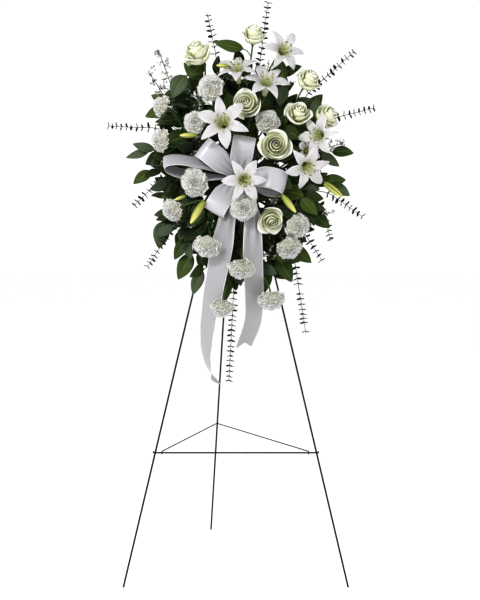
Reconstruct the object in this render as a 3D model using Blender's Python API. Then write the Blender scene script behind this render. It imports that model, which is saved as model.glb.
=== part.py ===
"""Standing funeral spray of white flowers on a folding wire easel.

Metres, +Z up, the front of the spray towards -Y. The tables give places in
millimetres as (across, forward, height) from a point on the floor under the
top of the easel. ORIGIN then moves everything to the middle of the plan.
"""
import math
import random

import bmesh
import bpy
from mathutils import Matrix, Vector
from mathutils.bvhtree import BVHTree

MM = 0.001
GAP = 0.3 * MM                  # running gap between pieces that touch
GUARD = 0.45 * MM               # how far a piece grows in a clearance test
SHARP_DEG = 35.0
ORIGIN = Vector((-0.012, -0.022, 0.0))

# Easel: a 48 inch wire tripod
TOP = Vector((-0.005, 0.0, 1.167))
FOOT_ACROSS = 0.2925
FOOT_FORWARD = 0.202
FEET = {
    "leg_left": Vector((-FOOT_ACROSS, -FOOT_FORWARD, 0.0)),
    "leg_right": Vector((FOOT_ACROSS, -FOOT_FORWARD, 0.0)),
    "leg_rear": Vector((-0.078, 0.351, 0.0)),
}
LEG_RADIUS = 0.0025
PIN_RADIUS = 0.003
PIN_ENDS = (-0.036, 0.028)
PIN_BUTTON_RADIUS = 0.0045
PIN_BUTTON_WIDTH = 0.003
EYE_RADIUS = 0.0066
EYE_WIDTH = 0.0052
WIRE_END = PIN_RADIUS + 0.0018  # how near the leg's wire comes to the pin's axis
BRACE_HEIGHT = 0.343
FRONT_BRACE_RADIUS = 0.0020
REAR_BRACE_RADIUS = 0.0015
REAR_EYE_RADIUS = 0.0048
FRONT_HOOK_BACK = 0.013         # how far the front brace's ends reach back past its legs
FRONT_HOOK_BEND = 0.0035
REAR_HOOK_FROM = -80            # angle round the front brace where the V's hooks begin
REAR_HOOK_ROUND = 190
REAR_HOOK_STEPS = 5
REAR_EYE_STEPS = 6
HOOK_ACROSS = (-0.194, 0.191)
# Where each leg's eye sits along the head pin
EYES = {
    "leg_left": -0.0175,
    "leg_rear": TOP.x,
    "leg_right": 0.0186,
}
LEAN = math.atan2(FOOT_FORWARD, TOP.z)

# Holder, in its own frame: across, out from the easel's front plane, down from the pin
FOAM_WIDTH = 0.110
FOAM_DEPTH = 0.080
FOAM_TOP = 0.030
FOAM_BOTTOM = 0.255
FOAM_BACK = 0.0056
CAGE_WALL = 0.0025
CAGE_RIM = 0.030
CAGE_BANDS = (0.090, 0.195)
CAGE_BAND_WIDTH = 0.006
CAGE_HOOKS = (-0.0285, 0.0065)
CAGE_HOOK_WIDTH = 0.008
CAGE_HOOK_FROM = 200            # angle round the pin where a hook's curve begins
CAGE_HOOK_ROUND = 225
CAGE_HOOK_STEPS = 6
ROOT_RADIUS = 0.003
HOLE_RADIUS = ROOT_RADIUS + 1.25 * GAP
ROOT_DEPTH = 0.030
ROOT_OUT = 0.012

STEM_RADIUS = 0.0021
NECK = 0.007                    # straight stretch of a stem behind its head
CALYX_RADIUS = 0.0042           # stem end under a rose or a carnation
TRUMPET_RADIUS = 0.0022         # stem end under a lily
TWIG_RADIUS = 0.0012
LEAF_THICKNESS = 0.0016
RIBBON_WIDTH = 0.057
RIBBON_THICKNESS = 0.0012

# Heads: (across, forward, height), (turn right, tilt up) of the face, width
ROSES = [
    ((46, 190, 1427), (10, 60), 70),
    ((-100, 205, 1380), (-34, 44), 86),
    ((26, 240, 1244), (-12, 12), 86),
    ((99, 250, 1140), (5, 5), 92),
    ((158, 232, 1225), (8, 38), 76),
    ((188, 205, 1311), (38, 42), 74),
    ((236, 200, 1219), (50, 26), 76),
    ((91, 246, 951), (5, -15), 78),
]
LILIES = [
    ((123, 195, 1382), (20, 14), 112),
    ((4, 225, 1335), (-8, 52), 112),
    ((78, 232, 1302), (8, 42), 122),
    ((-32, 260, 1196), (-5, 10), 136),
    ((22, 286, 1052), (4, -5), 114),
    ((204, 235, 1166), (-30, 0), 112),
    ((181, 238, 1084), (12, -18), 118),
]
CARNATIONS = [
    ((-67, 232, 1288), (-22, 20), 76),
    ((-195, 205, 1244), (-60, 22), 58),
    ((-106, 240, 1199), (-25, 5), 62),
    ((-197, 215, 1154), (-55, 0), 62),
    ((-107, 250, 1048), (-18, 0), 74),
    ((-167, 230, 976), (-45, -15), 62),
    ((20, 276, 984), (0, -12), 72),
    ((82, 240, 1204), (5, 15), 66),
    ((-72, 262, 880), (-18, -45), 72),
    ((16, 262, 825), (0, -56), 74),
    ((-34, 278, 728), (-8, -60), 66),
    ((89, 262, 745), (8, -60), 74),
    ((162, 228, 934), (28, -20), 70),
    ((137, 222, 875), (15, -45), 70),
]
ALSTROEMERIA = ((181, 232, 1127), (25, 5), 66)

# Further turn about its own axis, in degrees, for the heads whose petals are seen best
HEAD_TURNS = {"lily_4": 22, "lily_5": 16}

# Bow: loops as (turn right, tilt up, roll, length, height of the loop)
BOW_KNOT = (6, 178, 1062)
BOW_LOOPS = [
    (-61, 36, 4, 128, 54),
    (16, 58, 0, 117, 50),
    (68, -8, -20, 129, 66),
    (-76, 10, 62, 196, 44),
    (-44, -45, 10, 125, 46),
]
KNOT_RINGS = [(0.007, -0.013), (0.014, -0.005), (0.014, 0.005), (0.007, 0.013)]
PICK_RADIUS = 0.0024
# Tails: middle line as (across, forward, height), the ribbon's turn out of the front
# view at each point in degrees, then how far the left edge, middle and right edge of
# the cut end hang below the last point
TAILS = [
    ([(3, 180, 1060), (-16, 214, 1000), (-22, 230, 955), (-36, 237, 880), (-55, 238, 785),
      (-70, 234, 700), (-75, 231, 645), (-73, 231, 600), (-56, 232, 554)],
     (0, 0, 0, -12, -28, -46, -56, -70, -105), (26, 12, 0)),
    ([(10, 180, 1060), (34, 212, 1000), (42, 226, 955), (43, 232, 866), (46, 231, 778),
      (44, 229, 706), (28, 230, 655)],
     (0, 0, 10, 28, 32, 38, 45), (34, 12, 18)),
]

LOOP_STEPS = 9
TAIL_GATHER = (0.24, 0.46, 0.76)  # share of the ribbon's width at the first points of a tail

# Holes in the foam: face of the block, place across it or up it, place in depth
HOLES = {
    "branch_top": ("top", 14, 52),
    "branch_upper_left": ("left", 62, 60),
    "branch_left": ("left", 118, 62),
    "branch_lower_left": ("left", 178, 60),
    "branch_bottom": ("bottom", 4, 60),
    "branch_lower_right": ("right", 178, 60),
    "branch_right": ("right", 118, 62),
    "branch_upper_right": ("right", 62, 60),
    "branch_front_upper": ("front", 20, 73),
    "branch_front_lower": ("front", 12, 172),
    "ribbon_bow": ("front", -6, 116),
    "eucalyptus_top_left": ("top", -34, 44),
    "eucalyptus_top": ("top", -6, 66),
    "eucalyptus_upper_right": ("right", 44, 46),
    "eucalyptus_left": ("left", 146, 44),
    "eucalyptus_lower_left": ("left", 218, 46),
    "eucalyptus_bottom": ("bottom", -16, 44),
    "eucalyptus_lower_right": ("right", 218, 46),
    "eucalyptus_right": ("right", 148, 44),
    "filler_left": ("left", 42, 60),
    "filler_right": ("right", 76, 44),
}

# Which heads each branch carries
BRANCH_HEADS = {
    "branch_top": ["rose_1", "lily_1", "lily_2"],
    "branch_upper_left": ["rose_2", "carnation_1", "carnation_2"],
    "branch_left": ["carnation_3", "carnation_4", "carnation_5"],
    "branch_lower_left": ["carnation_6", "carnation_9"],
    "branch_bottom": ["carnation_10", "carnation_11", "carnation_12"],
    "branch_lower_right": ["carnation_13", "carnation_14", "rose_8"],
    "branch_right": ["lily_7", "alstroemeria", "lily_6"],
    "branch_upper_right": ["rose_6", "rose_7", "rose_5"],
    "branch_front_upper": ["rose_3", "lily_3", "carnation_8", "lily_4", "lily_5"],
    "branch_front_lower": ["rose_4", "carnation_7"],
}

# Lily buds: branch, (across, forward, height) of the middle, heading and lift, length
BUDS = [
    ("branch_upper_left", (-36, 235, 1334), 178, 10, 30),
    ("branch_left", (-119, 252, 1171), 182, 10, 42),
    ("branch_lower_left", (-91, 250, 975), 239, 12, 66),
    ("branch_lower_left", (-139, 245, 1009), 200, 20, 29),
    ("branch_lower_right", (134, 250, 990), 308, 12, 56),
    ("branch_right", (241, 222, 1022), 322, 8, 58),
]

# Salal leaves: branch, (across, forward, height) of the tip, heading of the
# blade in the front view, how far it leans forward, length, width
LEAVES = [
    ("branch_top", (-56, 150, 1406), 168, 5, 78, 32),
    ("branch_top", (115, 140, 1366), 98, 4, 60, 28),
    ("branch_top", (170, 130, 1348), 26, 4, 56, 28),
    ("branch_upper_left", (-124, 165, 1318), 222, 10, 62, 40),
    ("branch_upper_left", (-163, 140, 1265), 240, 10, 70, 46),
    ("branch_upper_left", (-196, 120, 1262), 200, 5, 64, 34),
    ("branch_upper_left", (-220, 110, 1276), 158, 5, 60, 32),
    ("branch_upper_left", (-236, 105, 1220), 205, 5, 58, 32),
    ("branch_upper_left", (-134, 130, 1356), 140, 0, 64, 40),
    ("branch_left", (-205, 140, 1208), 190, 8, 74, 28),
    ("branch_left", (-180, 160, 1136), 200, 10, 70, 50),
    ("branch_left", (-268, 115, 1150), 165, 6, 58, 26),
    ("branch_left", (-286, 112, 1114), 200, 6, 66, 24),
    ("branch_left", (-267, 115, 1046), 214, 6, 58, 30),
    ("branch_left", (-196, 140, 1012), 196, 8, 66, 40),
    ("branch_lower_left", (-208, 120, 905), 232, 8, 60, 34),
    ("branch_lower_left", (-200, 130, 878), 262, 6, 72, 44),
    ("branch_lower_left", (-159, 150, 850), 236, 8, 68, 34),
    ("branch_lower_left", (-150, 140, 798), 243, 6, 76, 42),
    ("branch_lower_left", (-110, 190, 940), 250, 12, 60, 40),
    ("branch_bottom", (-112, 135, 758), 248, 6, 68, 32),
    ("branch_bottom", (-26, 165, 744), 262, 6, 72, 30),
    ("branch_bottom", (72, 165, 762), 256, 6, 66, 30),
    ("branch_bottom", (4, 150, 784), 272, 4, 60, 30),
    ("branch_lower_right", (145, 150, 792), 298, 6, 78, 44),
    ("branch_lower_right", (196, 150, 842), 318, 8, 66, 36),
    ("branch_lower_right", (244, 140, 932), 322, 8, 64, 38),
    ("branch_lower_right", (210, 175, 966), 314, 10, 62, 36),
    ("branch_right", (304, 145, 1124), 356, 6, 56, 30),
    ("branch_right", (266, 160, 1090), 322, 8, 60, 28),
    ("branch_right", (284, 150, 1056), 4, 8, 62, 36),
    ("branch_right", (295, 145, 1015), 330, 6, 60, 32),
    ("branch_right", (250, 130, 1180), 20, 6, 62, 36),
    ("branch_upper_right", (224, 130, 1276), 48, 4, 62, 36),
    ("branch_upper_right", (208, 140, 1270), 90, 4, 56, 34),
    ("branch_upper_right", (164, 185, 1169), 322, 12, 58, 38),
    ("branch_upper_right", (120, 160, 1330), 84, 8, 60, 36),
    ("branch_front_upper", (112, 178, 1240), 258, 10, 56, 36),
    ("branch_front_upper", (-20, 190, 1276), 96, 10, 56, 38),
    ("branch_front_upper", (-70, 190, 1236), 150, 12, 60, 40),
    ("branch_front_lower", (140, 190, 1030), 320, 12, 62, 40),
    ("branch_front_lower", (20, 180, 910), 262, 10, 62, 40),
    ("branch_top", (-62, 160, 1300), 118, 16, 84, 54),
    ("branch_top", (92, 160, 1292), 64, 16, 84, 54),
    ("branch_upper_left", (-112, 160, 1212), 152, 16, 84, 54),
    ("branch_left", (-142, 160, 1078), 186, 16, 84, 56),
    ("branch_lower_left", (-118, 165, 930), 226, 16, 84, 54),
    ("branch_lower_left", (-62, 160, 842), 250, 14, 84, 52),
    ("branch_bottom", (40, 170, 830), 278, 14, 84, 52),
    ("branch_lower_right", (148, 165, 900), 312, 16, 84, 54),
    ("branch_right", (176, 165, 1014), 350, 16, 84, 56),
    ("branch_right", (178, 160, 1130), 18, 16, 84, 54),
    ("branch_upper_right", (142, 160, 1240), 44, 16, 84, 54),
    ("branch_front_upper", (-40, 190, 1170), 160, 24, 76, 50),
    ("branch_front_lower", (96, 190, 1010), 332, 24, 76, 50),
]

# Eucalyptus: node, then its sprays as tip, where the leafy part starts
EUCALYPTUS = {
    "eucalyptus_top_left": [((-74, 112, 1486), (-54, 112, 1392))],
    "eucalyptus_top": [((84, 104, 1515), (64, 116, 1352))],
    "eucalyptus_upper_right": [((307, 104, 1388), (196, 118, 1288)), ((358, 118, 1242), (262, 112, 1218))],
    "eucalyptus_left": [((-329, 118, 1196), (-206, 112, 1190)), ((-264, 150, 989), (-200, 118, 1052))],
    "eucalyptus_lower_left": [((-229, 152, 832), (-162, 136, 934))],
    "eucalyptus_bottom": [((-18, 140, 533), (-4, 128, 800))],
    "eucalyptus_lower_right": [((183, 142, 657), (152, 148, 850)), ((225, 160, 845), (180, 140, 915))],
    "eucalyptus_right": [((325, 158, 963), (248, 126, 1018)), ((246, 150, 896), (222, 126, 985))],
}
PAIR_STEP = 0.030
GRAINS = 5
EUCALYPTUS_LEAF = 0.0115

# Filler: node, tips of its flowering twigs
FILLER = {
    "filler_left": [(-202, 112, 1393), (-226, 112, 1335), (-100, 195, 1106)],
    "filler_right": [(276, 140, 1150), (238, 150, 966), (84, 180, 884)],
}


def place(spot):
    """Metres in the easel's frame from (across, forward, height) in millimetres."""
    return Vector((spot[0], -spot[1], spot[2])) * MM


def facing(turn, tilt):
    """Unit vector from an angle to the right and an angle up, straight forward at 0, 0."""
    turn = math.radians(turn)
    tilt = math.radians(tilt)
    return Vector((math.sin(turn) * math.cos(tilt), -math.cos(turn) * math.cos(tilt), math.sin(tilt)))


def heading(angle, lean):
    """Unit vector at an angle in the front view, 0 to the right and 90 up, leaning forward."""
    angle = math.radians(angle)
    lean = math.radians(lean)
    return Vector((math.cos(angle) * math.cos(lean), -math.sin(lean), math.sin(angle) * math.cos(lean)))


def basis(axis, hint):
    """Rotation whose Z is the axis and whose Y leans towards the hint."""
    z = axis.normalized()
    x = hint.cross(z).normalized()
    y = z.cross(x)
    return Matrix((x, y, z)).transposed()


class Shape:
    """Points and faces of one or more closed bodies."""

    def __init__(self, points=(), faces=()):
        self.points = [Vector(p) for p in points]
        self.faces = [tuple(f) for f in faces]

    def moved(self, turn, shift):
        return Shape([turn @ p + shift for p in self.points], self.faces)

    def grown(self, distance):
        """The same shape with each point moved out along its normal."""
        normals = [Vector() for _ in self.points]
        for face in self.faces:
            a, b, c = (self.points[face[i]] for i in (0, 1, 2))
            normal = (b - a).cross(c - a)
            for index in face:
                normals[index] += normal
        points = [p + n.normalized() * distance for p, n in zip(self.points, normals)]
        return Shape(points, self.faces)

    def tree(self):
        return BVHTree.FromPolygons(self.points, self.faces)


def loft(rings, close_start=True, close_end=True):
    """Closed skin through rings of equal count; a ring of one point is a tip."""
    points = []
    starts = []
    for ring in rings:
        starts.append(len(points))
        points.extend(ring)
    faces = []
    for k in range(len(rings) - 1):
        a, b = starts[k], starts[k + 1]
        na, nb = len(rings[k]), len(rings[k + 1])
        n = max(na, nb)
        for j in range(n):
            i = (j + 1) % n
            if na == 1:
                faces.append((a, b + i, b + j))
            elif nb == 1:
                faces.append((a + j, a + i, b))
            else:
                faces.append((a + j, a + i, b + i, b + j))
    if close_start and len(rings[0]) > 1:
        faces.append(tuple(reversed(range(starts[0], starts[0] + len(rings[0])))))
    if close_end and len(rings[-1]) > 1:
        faces.append(tuple(range(starts[-1], starts[-1] + len(rings[-1]))))
    return Shape(points, faces)


def path_frames(path):
    """Tangent, side and upper vectors along a path, carried on without twist."""
    tangents = []
    for i in range(len(path)):
        before = path[max(i - 1, 0)]
        after = path[min(i + 1, len(path) - 1)]
        tangents.append((after - before).normalized())
    side = tangents[0].orthogonal().normalized()
    frames = []
    for tangent in tangents:
        side = (side - tangent * side.dot(tangent)).normalized()
        frames.append((tangent, side, tangent.cross(side)))
    return frames


def tube(path, radii, sides, phase=0.0):
    """Round rod along a path with a radius at each point."""
    if not isinstance(radii, (list, tuple)):
        radii = [radii] * len(path)
    rings = []
    for point, radius, (_, side, upper) in zip(path, radii, path_frames(path)):
        ring = []
        for j in range(sides):
            angle = phase + math.tau * j / sides
            ring.append(point + (side * math.cos(angle) + upper * math.sin(angle)) * radius)
        rings.append(ring)
    return loft(rings)


def curve(start, pull_start, pull_end, end, steps):
    """Points on a smooth curve between two ends with a pull point for each."""
    points = []
    for k in range(steps + 1):
        t = k / steps
        s = 1 - t
        points.append(start * s ** 3 + pull_start * 3 * s * s * t + pull_end * 3 * s * t * t + end * t ** 3)
    return points


def box(low, high):
    x0, y0, z0 = low
    x1, y1, z1 = high
    lower = [Vector(p) for p in ((x0, y0, z0), (x1, y0, z0), (x1, y1, z0), (x0, y1, z0))]
    upper = [Vector((p.x, p.y, z1)) for p in lower]
    return loft([lower, upper])


def rod_x(centre, x0, x1, radius, sides):
    """Round bar along X."""
    ends = []
    for x in (x0, x1):
        ring = []
        for j in range(sides):
            angle = math.tau * (j + 0.5) / sides
            out = Vector((0, math.cos(angle), math.sin(angle))) * radius
            ring.append(Vector((x, centre[0], centre[1])) + out)
        ends.append(ring)
    return loft(ends)


MATERIALS = {}


def material(name, colour, roughness, metallic=0.0):
    if name not in MATERIALS:
        made = bpy.data.materials.new(name)
        made.use_nodes = True
        shader = made.node_tree.nodes["Principled BSDF"]
        shader.inputs["Base Color"].default_value = (*colour, 1.0)
        shader.inputs["Roughness"].default_value = roughness
        shader.inputs["Metallic"].default_value = metallic
        MATERIALS[name] = made
    return MATERIALS[name]


def wire_paint():
    return material("wire_paint", (0.02, 0.03, 0.022), 0.45, 0.6)


def cage_plastic():
    return material("cage_plastic", (0.03, 0.10, 0.04), 0.5)


def foam_green():
    return material("foam_green", (0.05, 0.14, 0.06), 0.95)


def petal_white():
    return material("petal_white", (0.88, 0.88, 0.80), 0.6)


def satin_white():
    return material("satin_white", (0.80, 0.79, 0.82), 0.35)


def leaf_green():
    return material("leaf_green", (0.05, 0.12, 0.03), 0.5)


def eucalyptus_green():
    return material("eucalyptus_green", (0.06, 0.09, 0.08), 0.7)


def filler_white():
    return material("filler_white", (0.72, 0.74, 0.66), 0.8)


def skin(name, shape):
    """Mesh of a shape, moved to the middle of the plan, its faces turned out."""
    mesh = bpy.data.meshes.new(name)
    mesh.from_pydata([p + ORIGIN for p in shape.points], [], shape.faces)
    mesh.validate()
    work = bmesh.new()
    work.from_mesh(mesh)
    bmesh.ops.recalc_face_normals(work, faces=work.faces)
    work.to_mesh(mesh)
    work.free()
    return mesh


def main_body(mesh):
    """The same mesh without the loose scraps of a union, if it left any."""
    work = bmesh.new()
    work.from_mesh(mesh)
    work.verts.ensure_lookup_table()
    seen = set()
    bodies = []
    for vertex in work.verts:
        if vertex in seen:
            continue
        body = {vertex}
        edge = [vertex]
        while edge:
            for link in edge.pop().link_edges:
                for other in link.verts:
                    if other not in body:
                        body.add(other)
                        edge.append(other)
        seen |= body
        bodies.append(body)
    bodies.sort(key=len, reverse=True)
    for body in bodies[1:]:
        bmesh.ops.delete(work, geom=list(body), context="VERTS")
    work.to_mesh(mesh)
    work.free()
    return mesh


def add_node(name, mesh, look):
    mesh.name = name
    mesh.materials.clear()
    mesh.materials.append(look)
    mesh.shade_smooth()
    mesh.set_sharp_from_angle(angle=math.radians(SHARP_DEG))
    made = bpy.data.objects.new(name, mesh)
    bpy.context.scene.collection.objects.link(made)
    made.parent = STAND


def combine(name, mesh, others, operation, solver="MANIFOLD"):
    """Mesh with the other shapes joined to it or cut from it."""
    group = bpy.data.collections.new(name + "_pieces")
    bpy.context.scene.collection.children.link(group)
    base = bpy.data.objects.new(name + "_base", mesh)
    bpy.context.scene.collection.objects.link(base)
    for k, other in enumerate(others):
        piece = skin(f"{name}_piece_{k}", other)
        group.objects.link(bpy.data.objects.new(piece.name, piece))
    modifier = base.modifiers.new("combine", "BOOLEAN")
    modifier.operation = operation
    modifier.solver = solver
    modifier.operand_type = "COLLECTION"
    modifier.collection = group
    depsgraph = bpy.context.evaluated_depsgraph_get()
    result = bpy.data.meshes.new_from_object(base.evaluated_get(depsgraph))
    for piece in list(group.objects):
        bpy.data.objects.remove(piece)
    bpy.data.collections.remove(group)
    bpy.data.objects.remove(base)
    return result


PLACED = []


def remember(name, shape):
    """Keep a solid for the clearance tests of what comes later."""
    PLACED.append((name, shape.tree()))


def is_clear(shape, skip=()):
    grown = shape.grown(GUARD).tree()
    return not any(name not in skip and grown.overlap(tree) for name, tree in PLACED)


def single(name, shape, look):
    """A node that is one closed skin by construction."""
    add_node(name, skin(name, shape), look)
    remember(name, shape)


def joined(name, shapes, look):
    """A node whose pieces are fused into one closed body."""
    mesh = main_body(combine(name, skin(name, shapes[0]), shapes[1:], "UNION"))
    add_node(name, mesh, look)
    for shape in shapes:
        remember(name, shape)


# Easel


def level_rod(foot, top, radius, sides=8):
    """Leg wire with both ends cut level."""
    rings = []
    for centre in (foot, top):
        ring = []
        for j in range(sides):
            angle = math.tau * (j + 0.5) / sides
            ring.append(centre + Vector((math.cos(angle), math.sin(angle), 0)) * radius)
        rings.append(ring)
    return loft(rings)


def make_leg(name, foot, eye_across):
    """Leg with a closed eye round the head pin."""
    top = Vector((eye_across, 0.0, TOP.z))
    wire_end = top + (foot - top).normalized() * WIRE_END
    wire = level_rod(foot, wire_end, LEG_RADIUS)
    half = EYE_WIDTH / 2
    eye = rod_x((0.0, TOP.z), eye_across - half, eye_across + half, EYE_RADIUS, 10)
    bore = rod_x((0.0, TOP.z), eye_across - 2 * half, eye_across + 2 * half, PIN_RADIUS + GAP, 10)
    mesh = combine(name, skin(name, wire), [eye], "UNION", "EXACT")
    mesh = combine(name, mesh, [bore], "DIFFERENCE", "EXACT")
    add_node(name, mesh, wire_paint())
    remember(name, wire)
    remember(name, eye)


def leg_centre(foot, eye_across, height):
    top = Vector((eye_across, 0.0, TOP.z))
    return foot.lerp(top, height / TOP.z)


def make_head_pin():
    """Cross wire that the legs and the holder hang on, with a button at each end."""
    ends = []
    for x, radius in (
        (PIN_ENDS[0] - PIN_BUTTON_WIDTH, PIN_BUTTON_RADIUS),
        (PIN_ENDS[0], PIN_BUTTON_RADIUS),
        (PIN_ENDS[0], PIN_RADIUS),
        (PIN_ENDS[1], PIN_RADIUS),
        (PIN_ENDS[1], PIN_BUTTON_RADIUS),
        (PIN_ENDS[1] + PIN_BUTTON_WIDTH, PIN_BUTTON_RADIUS),
    ):
        ring = []
        for j in range(10):
            angle = math.tau * (j + 0.5) / 10
            ring.append(Vector((x, math.cos(angle) * radius, TOP.z + math.sin(angle) * radius)))
        ends.append(ring)
    single("head_pin", loft(ends), wire_paint())


def front_brace_line():
    """Depth of the front brace, which passes just in front of the front legs."""
    leg = leg_centre(FEET["leg_right"], EYES["leg_right"], BRACE_HEIGHT)
    return leg.y - LEG_RADIUS - FRONT_BRACE_RADIUS - GAP


def make_front_brace():
    """Straight wire with each end hooked back round the outside of its leg."""
    y = front_brace_line()
    left = leg_centre(FEET["leg_left"], EYES["leg_left"], BRACE_HEIGHT).x
    right = leg_centre(FEET["leg_right"], EYES["leg_right"], BRACE_HEIGHT).x
    out = LEG_RADIUS + FRONT_BRACE_RADIUS + 2.5 * GAP
    turn = FRONT_HOOK_BEND
    path = []
    for side, x in ((-1, left), (1, right)):
        hook = [
            Vector((x + side * out, y + FRONT_HOOK_BACK, BRACE_HEIGHT)),
            Vector((x + side * out, y + turn, BRACE_HEIGHT)),
            Vector((x + side * (out - turn * 0.3), y + turn * 0.3, BRACE_HEIGHT)),
            Vector((x + side * (out - turn), y, BRACE_HEIGHT)),
        ]
        path += hook if side < 0 else list(reversed(hook))
    single("brace_front", tube(path, FRONT_BRACE_RADIUS, 8), wire_paint())


def make_rear_brace():
    """V of wire: hooks over the front brace, and an eye behind the rear leg."""
    y = front_brace_line()
    reach = FRONT_BRACE_RADIUS + REAR_BRACE_RADIUS + GAP
    leg = leg_centre(FEET["leg_rear"], EYES["leg_rear"], BRACE_HEIGHT + reach)
    path = []
    for side, x in ((-1, HOOK_ACROSS[0]), (1, HOOK_ACROSS[1])):
        arm = []
        for k in range(REAR_HOOK_STEPS + 1):
            angle = math.radians(REAR_HOOK_FROM - REAR_HOOK_ROUND * k / REAR_HOOK_STEPS)
            arm.append(Vector((x, y + math.cos(angle) * reach, BRACE_HEIGHT + math.sin(angle) * reach)))
        arm.append(Vector((leg.x + side * REAR_EYE_RADIUS, leg.y, arm[-1].z)))
        if side < 0:
            path += arm
            for k in range(1, REAR_EYE_STEPS):
                angle = math.pi - math.pi * k / REAR_EYE_STEPS
                path.append(leg + Vector((math.cos(angle), math.sin(angle), 0)) * REAR_EYE_RADIUS)
                path[-1].z = arm[-1].z
        else:
            path += list(reversed(arm))
    single("brace_rear", tube(path, REAR_BRACE_RADIUS, 6), wire_paint())


# Holder


def holder(across, out, down):
    """Easel-frame point from the holder's own across, out and down."""
    turn = Matrix.Rotation(-LEAN, 3, "X")
    return Vector((0, 0, TOP.z)) + turn @ Vector((across, -out, -down))


def holder_box(across, out, down):
    """Block between pairs of holder values."""
    shape = box((across[0], -out[1], -down[1]), (across[1], -out[0], -down[0]))
    return shape.moved(Matrix.Rotation(-LEAN, 3, "X"), Vector((0, 0, TOP.z)))


def hole_axis(name):
    """Mouth of a foam hole and the direction out of it."""
    face, along, out = HOLES[name]
    turn = Matrix.Rotation(-LEAN, 3, "X")
    half = FOAM_WIDTH / 2
    if face == "top":
        return holder(along * MM, out * MM, FOAM_TOP), turn @ Vector((0, 0, 1))
    if face == "bottom":
        return holder(along * MM, out * MM, FOAM_BOTTOM), turn @ Vector((0, 0, -1))
    if face == "left":
        return holder(-half, out * MM, along * MM), turn @ Vector((-1, 0, 0))
    if face == "right":
        return holder(half, out * MM, along * MM), turn @ Vector((1, 0, 0))
    return holder(along * MM, FOAM_BACK + FOAM_DEPTH, out * MM), turn @ Vector((0, -1, 0))


def root_peg(name, radius, clearance, out):
    """Five-sided peg from the bottom of a foam hole to a little outside it."""
    mouth, normal = hole_axis(name)
    side = Vector((0, 1, 0)) if abs(normal.y) < 0.5 else Vector((1, 0, 0))
    turn = basis(normal, side)
    rings = []
    for reach in (-ROOT_DEPTH + clearance, out):
        ring = []
        for j in range(5):
            angle = math.tau * j / 5
            ring.append(mouth + turn @ Vector((math.cos(angle) * radius, math.sin(angle) * radius, reach)))
        rings.append(ring)
    return loft(rings)


def make_foam():
    half = FOAM_WIDTH / 2
    block = holder_box((-half, half), (FOAM_BACK, FOAM_BACK + FOAM_DEPTH), (FOAM_TOP, FOAM_BOTTOM))
    cuts = [root_peg(name, HOLE_RADIUS, 0.0, 2 * ROOT_OUT) for name in HOLES]
    mesh = combine("foam_block", skin("foam_block", block), cuts, "DIFFERENCE")
    add_node("foam_block", mesh, foam_green())
    remember("foam_block", block)


def hook_strip(across):
    """Flat handle that rises from the tray and hooks over the head pin."""
    inner = PIN_RADIUS + GAP
    outer = inner + CAGE_WALL
    turn = Matrix.Rotation(-LEAN, 3, "X")
    rings = []
    back = FOAM_BACK - GAP
    for rise in (-0.045, -0.012):
        rings.append(((-(back - CAGE_WALL), rise), (-back, rise)))
    for k in range(CAGE_HOOK_STEPS + 1):
        angle = math.radians(CAGE_HOOK_FROM - CAGE_HOOK_ROUND * k / CAGE_HOOK_STEPS)
        rings.append(((math.cos(angle) * inner, math.sin(angle) * inner),
                      (math.cos(angle) * outer, math.sin(angle) * outer)))
    half = CAGE_HOOK_WIDTH / 2
    sections = []
    for (inner_y, inner_z), (outer_y, outer_z) in rings:
        sections.append([
            turn @ Vector((across - half, inner_y, inner_z)) + Vector((0, 0, TOP.z)),
            turn @ Vector((across + half, inner_y, inner_z)) + Vector((0, 0, TOP.z)),
            turn @ Vector((across + half, outer_y, outer_z)) + Vector((0, 0, TOP.z)),
            turn @ Vector((across - half, outer_y, outer_z)) + Vector((0, 0, TOP.z)),
        ])
    return loft(sections)


def make_cage():
    """Tray behind the foam, a rim round it, two bands over it and the handle."""
    half = FOAM_WIDTH / 2 + GAP
    outer = half + CAGE_WALL
    back = FOAM_BACK - GAP
    front = FOAM_BACK + FOAM_DEPTH + GAP
    top = FOAM_TOP - GAP
    bottom = FOAM_BOTTOM + GAP
    reach = back + CAGE_RIM
    wall = CAGE_WALL
    pieces = [holder_box((-outer, outer), (back - wall, back), (top - wall, bottom + wall))]
    for side in (-1, 1):
        across = sorted((side * half, side * outer))
        pieces.append(holder_box(across, (back - wall / 2, reach), (top - wall, bottom + wall)))
    pieces.append(holder_box((-outer, outer), (back - wall / 2, reach - 0.001), (top - wall, top)))
    pieces.append(holder_box((-outer, outer), (back - wall / 2, reach - 0.001), (bottom, bottom + wall)))
    for down in CAGE_BANDS:
        span = (down - CAGE_BAND_WIDTH / 2, down + CAGE_BAND_WIDTH / 2)
        for side in (-1, 1):
            across = sorted((side * half, side * (outer - 0.0004)))
            pieces.append(holder_box(across, (reach - 0.004, front + wall), span))
        inset = (span[0] + 0.0003, span[1] - 0.0003)
        pieces.append(holder_box((-half - 0.001, half + 0.001), (front, front + wall - 0.0004), inset))
    for across in CAGE_HOOKS:
        pieces.append(hook_strip(across))
    joined("foam_cage", pieces, cage_plastic())


# Heads


def lobed_ring(radius, height, count, lobes, swing, rise, phase):
    """Ring whose radius grows across each lobe, so that lobes overlap like petals."""
    ring = []
    for j in range(count):
        angle = math.tau * j / count
        part = (j * lobes / count + phase) % 1.0
        wide = radius * (1 + swing * (2 * part - 0.7)) if lobes else radius
        tall = height + rise * math.sin(math.pi * (part + 0.18)) if lobes else height
        ring.append(Vector((math.cos(angle) * wide, math.sin(angle) * wide, tall)))
    return ring


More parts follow.
